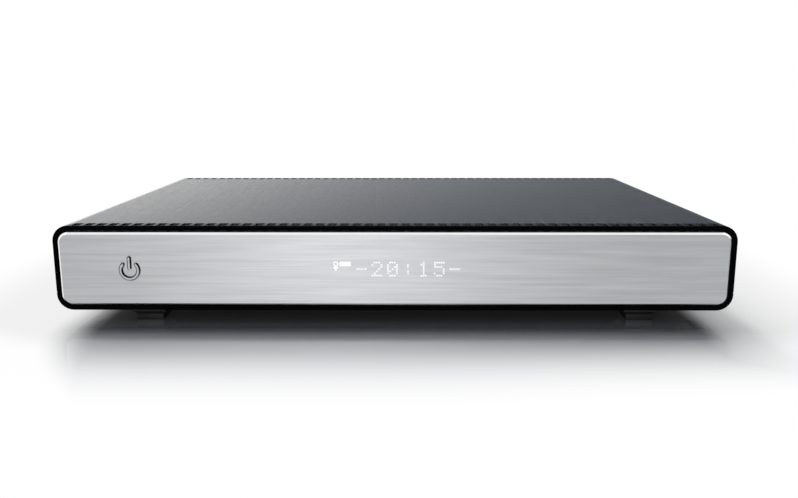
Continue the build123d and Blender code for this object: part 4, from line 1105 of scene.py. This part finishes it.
# --- studio
@dataclass
class Studio:
    """Pale glossy floor, a soft box behind and above, and a dim surround that is brighter at the left. Near
    the object the floor's shadow is partly painted: masks set how far it reaches.

    The floor's fades are distances from the object in metres, where a share starts and where it ends.
    """

    floor_size: float = 6.0
    floor_drop: float = 0.02
    half_width: float = 160.0
    front: float = 108.3
    back: float = 98.0
    mirror: float = 0.38
    mirror_fade: Pair = (0.015, 0.095)
    contact: float = 0.48
    contact_fade: Pair = (0.008, 0.022)
    side_fade: Pair = (0.0, 0.012)
    sheen: float = 0.52
    # where the painted grey shade around the object fades into full white
    painted_shade_fade: Pair = (0.03, 0.09)
    bow: float = 5.0
    # the melt into white paints the object's shadow: it cuts the shadow off just past the left edge and lets
    # it reach far on the right
    left_melt: Pair = (-0.0255, 0.002)
    left_share: float = 0.98
    right_melt: Pair = (-0.05, 0.055)
    right_start: Pair = (-0.022, -0.007)
    plain_melt: Pair = (0.036, 0.108)
    plain_least: float = 0.007
    box_place: Point = (-0.2, 0.85, 1.0)
    box_size: Pair = (2.0, 1.0)
    box_level: float = 4.5
    left_light: float = 0.37
    left_fall: float = -2.7
    low_fall: float = -6.0
    level: float = 0.135
    darkest: float = 0.13
    brightest: float = 1.3
    front_fill: float = 0.3
    front_light: float = 0.58
    front_peak: float = 2.35
    peak_side: float = 0.085
    peak_width: float = 0.19
    above: float = 0.12
    overhead: float = 0.95
    cool: Colour = (0.9, 0.98, 1.1)

    def floor(self) -> None:
        """Lay the floor: it mirrors close to the object and melts into the white around it. The melt paints
        the shadow's reach, short at the left and long at the right, with a painted grey shade close to the
        object.
        """
        bpy.ops.mesh.primitive_plane_add(size=self.floor_size, location=(0.0, 0.0, -self.floor_drop * MM))
        floor = Blank("studio_floor").thing
        made = bpy.data.materials.new("studio_floor_white")
        tree = ShaderTree(made)
        across = tree.split(tree.place())
        deep = across.other("Y")
        width = across.at_least(-across) - self.half_width * MM
        aside = width.at_least(0.0)
        ahead = (-deep - self.front * MM).at_least(deep - self.back * MM).at_least(0.0)
        away = (aside * aside + ahead * ahead) ** 0.5
        share = self.mirror * (1.0 - away.rise(*self.mirror_fade))
        share = share + self.contact * (1.0 - away.rise(*self.contact_fade))
        share = share * (1.0 - aside.rise(*self.side_fade))
        pale = tree.mix(tree.noise(60.0, 2.0), (0.92, 0.92, 0.925), (0.94, 0.94, 0.945))
        paint = tree.add("ShaderNodeBsdfDiffuse", {"Color": pale})
        grey = (self.sheen,) * 3
        sheen = tree.add("ShaderNodeBsdfGlossy", {"Color": grey, "Roughness": 0.05})
        sheet = tree.blend(share, paint, sheen)
        glossy = tree.add("ShaderNodeLightPath", output="Is Glossy Ray")
        # painted shade: close to the object the white is grey (0.88) and brightens to full white away from
        # it; glossy rays see full white
        clear = (aside + 2.0 * ahead).rise(*self.painted_shade_fade).at_least(glossy)
        white = tree.mix(clear, (0.88, 0.88, 0.88), (1.0, 1.0, 1.0))
        white = tree.add("ShaderNodeEmission", {"Color": white, "Strength": 1.0})
        # painted shadow: the lit floor melts into white by distance, close in at the left and far out at the
        # right
        out = width + ahead * ahead * self.bow
        rightward = across.rise(-0.01, 0.01)
        left = out.rise(*self.left_melt) * self.left_share * (1.0 - rightward)
        right = out.rise(*self.right_melt) * out.rise(*self.right_start) * rightward
        mirrored = glossy * away.rise(*self.side_fade)
        plain = (away + 0.1 * across.at_least(0.0)).rise(*self.plain_melt).at_least(self.plain_least)
        melt = plain.at_least(left).at_least(right).at_least(mirrored)
        tree.end(tree.blend(melt, sheet, white))
        floor.data.materials.append(made)

    def world(self) -> None:
        """Make the surround: brighter at the left behind, a soft peak in front, and white to the camera."""
        sky = bpy.data.worlds.new("studio_surround")
        bpy.context.scene.world = sky
        tree = ShaderTree(sky)
        way = tree.split(tree.add("ShaderNodeTexCoord", output="Generated"))
        high = way.other("Z")
        behind = (way * self.left_fall + (high - self.level) * self.low_fall).exp() * self.left_light
        behind = behind.at_least(self.darkest).at_most(self.brightest)
        offset = (way + self.peak_side) * (1.0 / self.peak_width)
        before = self.front_light + self.front_peak * (-(offset * offset)).exp()
        front = (-way.other("Y")).rise(-0.1, 0.2)
        seen = tree.add("ShaderNodeLightPath", output="Is Camera Ray")
        mirrored = seen.other("Is Glossy Ray")
        strip = before * mirrored + self.front_fill * (1.0 - mirrored)
        low = behind * (1.0 - front) + strip * front
        up = high.rise(0.2, 0.34) * (1.0 - front) + high.rise(0.4, 0.7) * front
        light = low * (1.0 - up) + self.above * up
        light = light.at_least(high.rise(0.72, 0.9) * mirrored * self.overhead)
        strength = seen + (1.0 - seen) * light
        tint = tree.mix((1.0 - strength.rise(0.1, 0.7)) * (1.0 - seen), (1.0, 1.0, 1.0), self.cool)
        sockets: Sockets = {"Color": tint, "Strength": strength}
        tree.end(tree.add("ShaderNodeBackground", sockets), "ShaderNodeOutputWorld")

    def soft_box(self) -> None:
        """Hang the soft box, facing the origin. A level of 1 is white."""
        data = bpy.data.lights.new("soft_box", "AREA")
        data.shape = "RECTANGLE"
        data.size, data.size_y = self.box_size
        data.energy = self.box_level * math.pi * self.box_size[0] * self.box_size[1]
        lamp = bpy.data.objects.new("soft_box", data)
        bpy.context.scene.collection.objects.link(lamp)
        lamp.location = self.box_place
        lamp.rotation_euler = (-Vector(self.box_place)).to_track_quat("-Z", "Y").to_euler()

    def build(self) -> None:
        """Make the floor, the surround and the soft box, and set the plain view transform."""
        self.floor()
        self.world()
        self.soft_box()
        bpy.context.scene.view_settings.view_transform = "Standard"


@dataclass(frozen=True)
class Viewpoint:
    """The camera, from the place and angles in the part's frame."""

    place: Point = (5.8, -468.6, 107.9)
    yaw: float = 0.531
    pitch: float = 11.33
    roll: float = -0.067
    focal: float = 788.7
    frame_width: int = 798
    sensor: float = 36.0
    clip: Pair = (0.01, 20.0)

    def build(self) -> None:
        """Make the camera and hand it to the scene."""
        yaw, pitch, roll = (math.radians(angle) for angle in (self.yaw, self.pitch, self.roll))
        turn = Matrix.Rotation(yaw, 4, "Z") @ Matrix.Rotation(math.pi / 2 - pitch, 4, "X")
        turn = turn @ Matrix.Rotation(roll, 4, "Z")
        data = bpy.data.cameras.new("viewpoint")
        data.sensor_fit = "HORIZONTAL"
        data.sensor_width = self.sensor
        data.lens = self.focal / self.frame_width * self.sensor
        data.clip_start, data.clip_end = self.clip
        camera = bpy.data.objects.new("viewpoint", data)
        bpy.context.scene.collection.objects.link(camera)
        camera.matrix_world = Matrix.Translation(Vector(self.place) * MM) @ turn
        bpy.context.scene.camera = camera
        LOG.info("camera at %s", self.place)


def main() -> None:
    """Build the sub-assemblies in order."""
    logging.basicConfig(level=logging.INFO, format="%(name)s: %(message)s")
    shown = (Housing(), PanelPlate(), Readout(), Feet(), AerialSockets(), RearScrews(), RockerMarks())
    for part in (Viewpoint(), *shown, Studio()):
        part.build()
        LOG.info("%s done", type(part).__name__)
    bpy.context.view_layer.update()


if __name__ == "__main__":
    main()
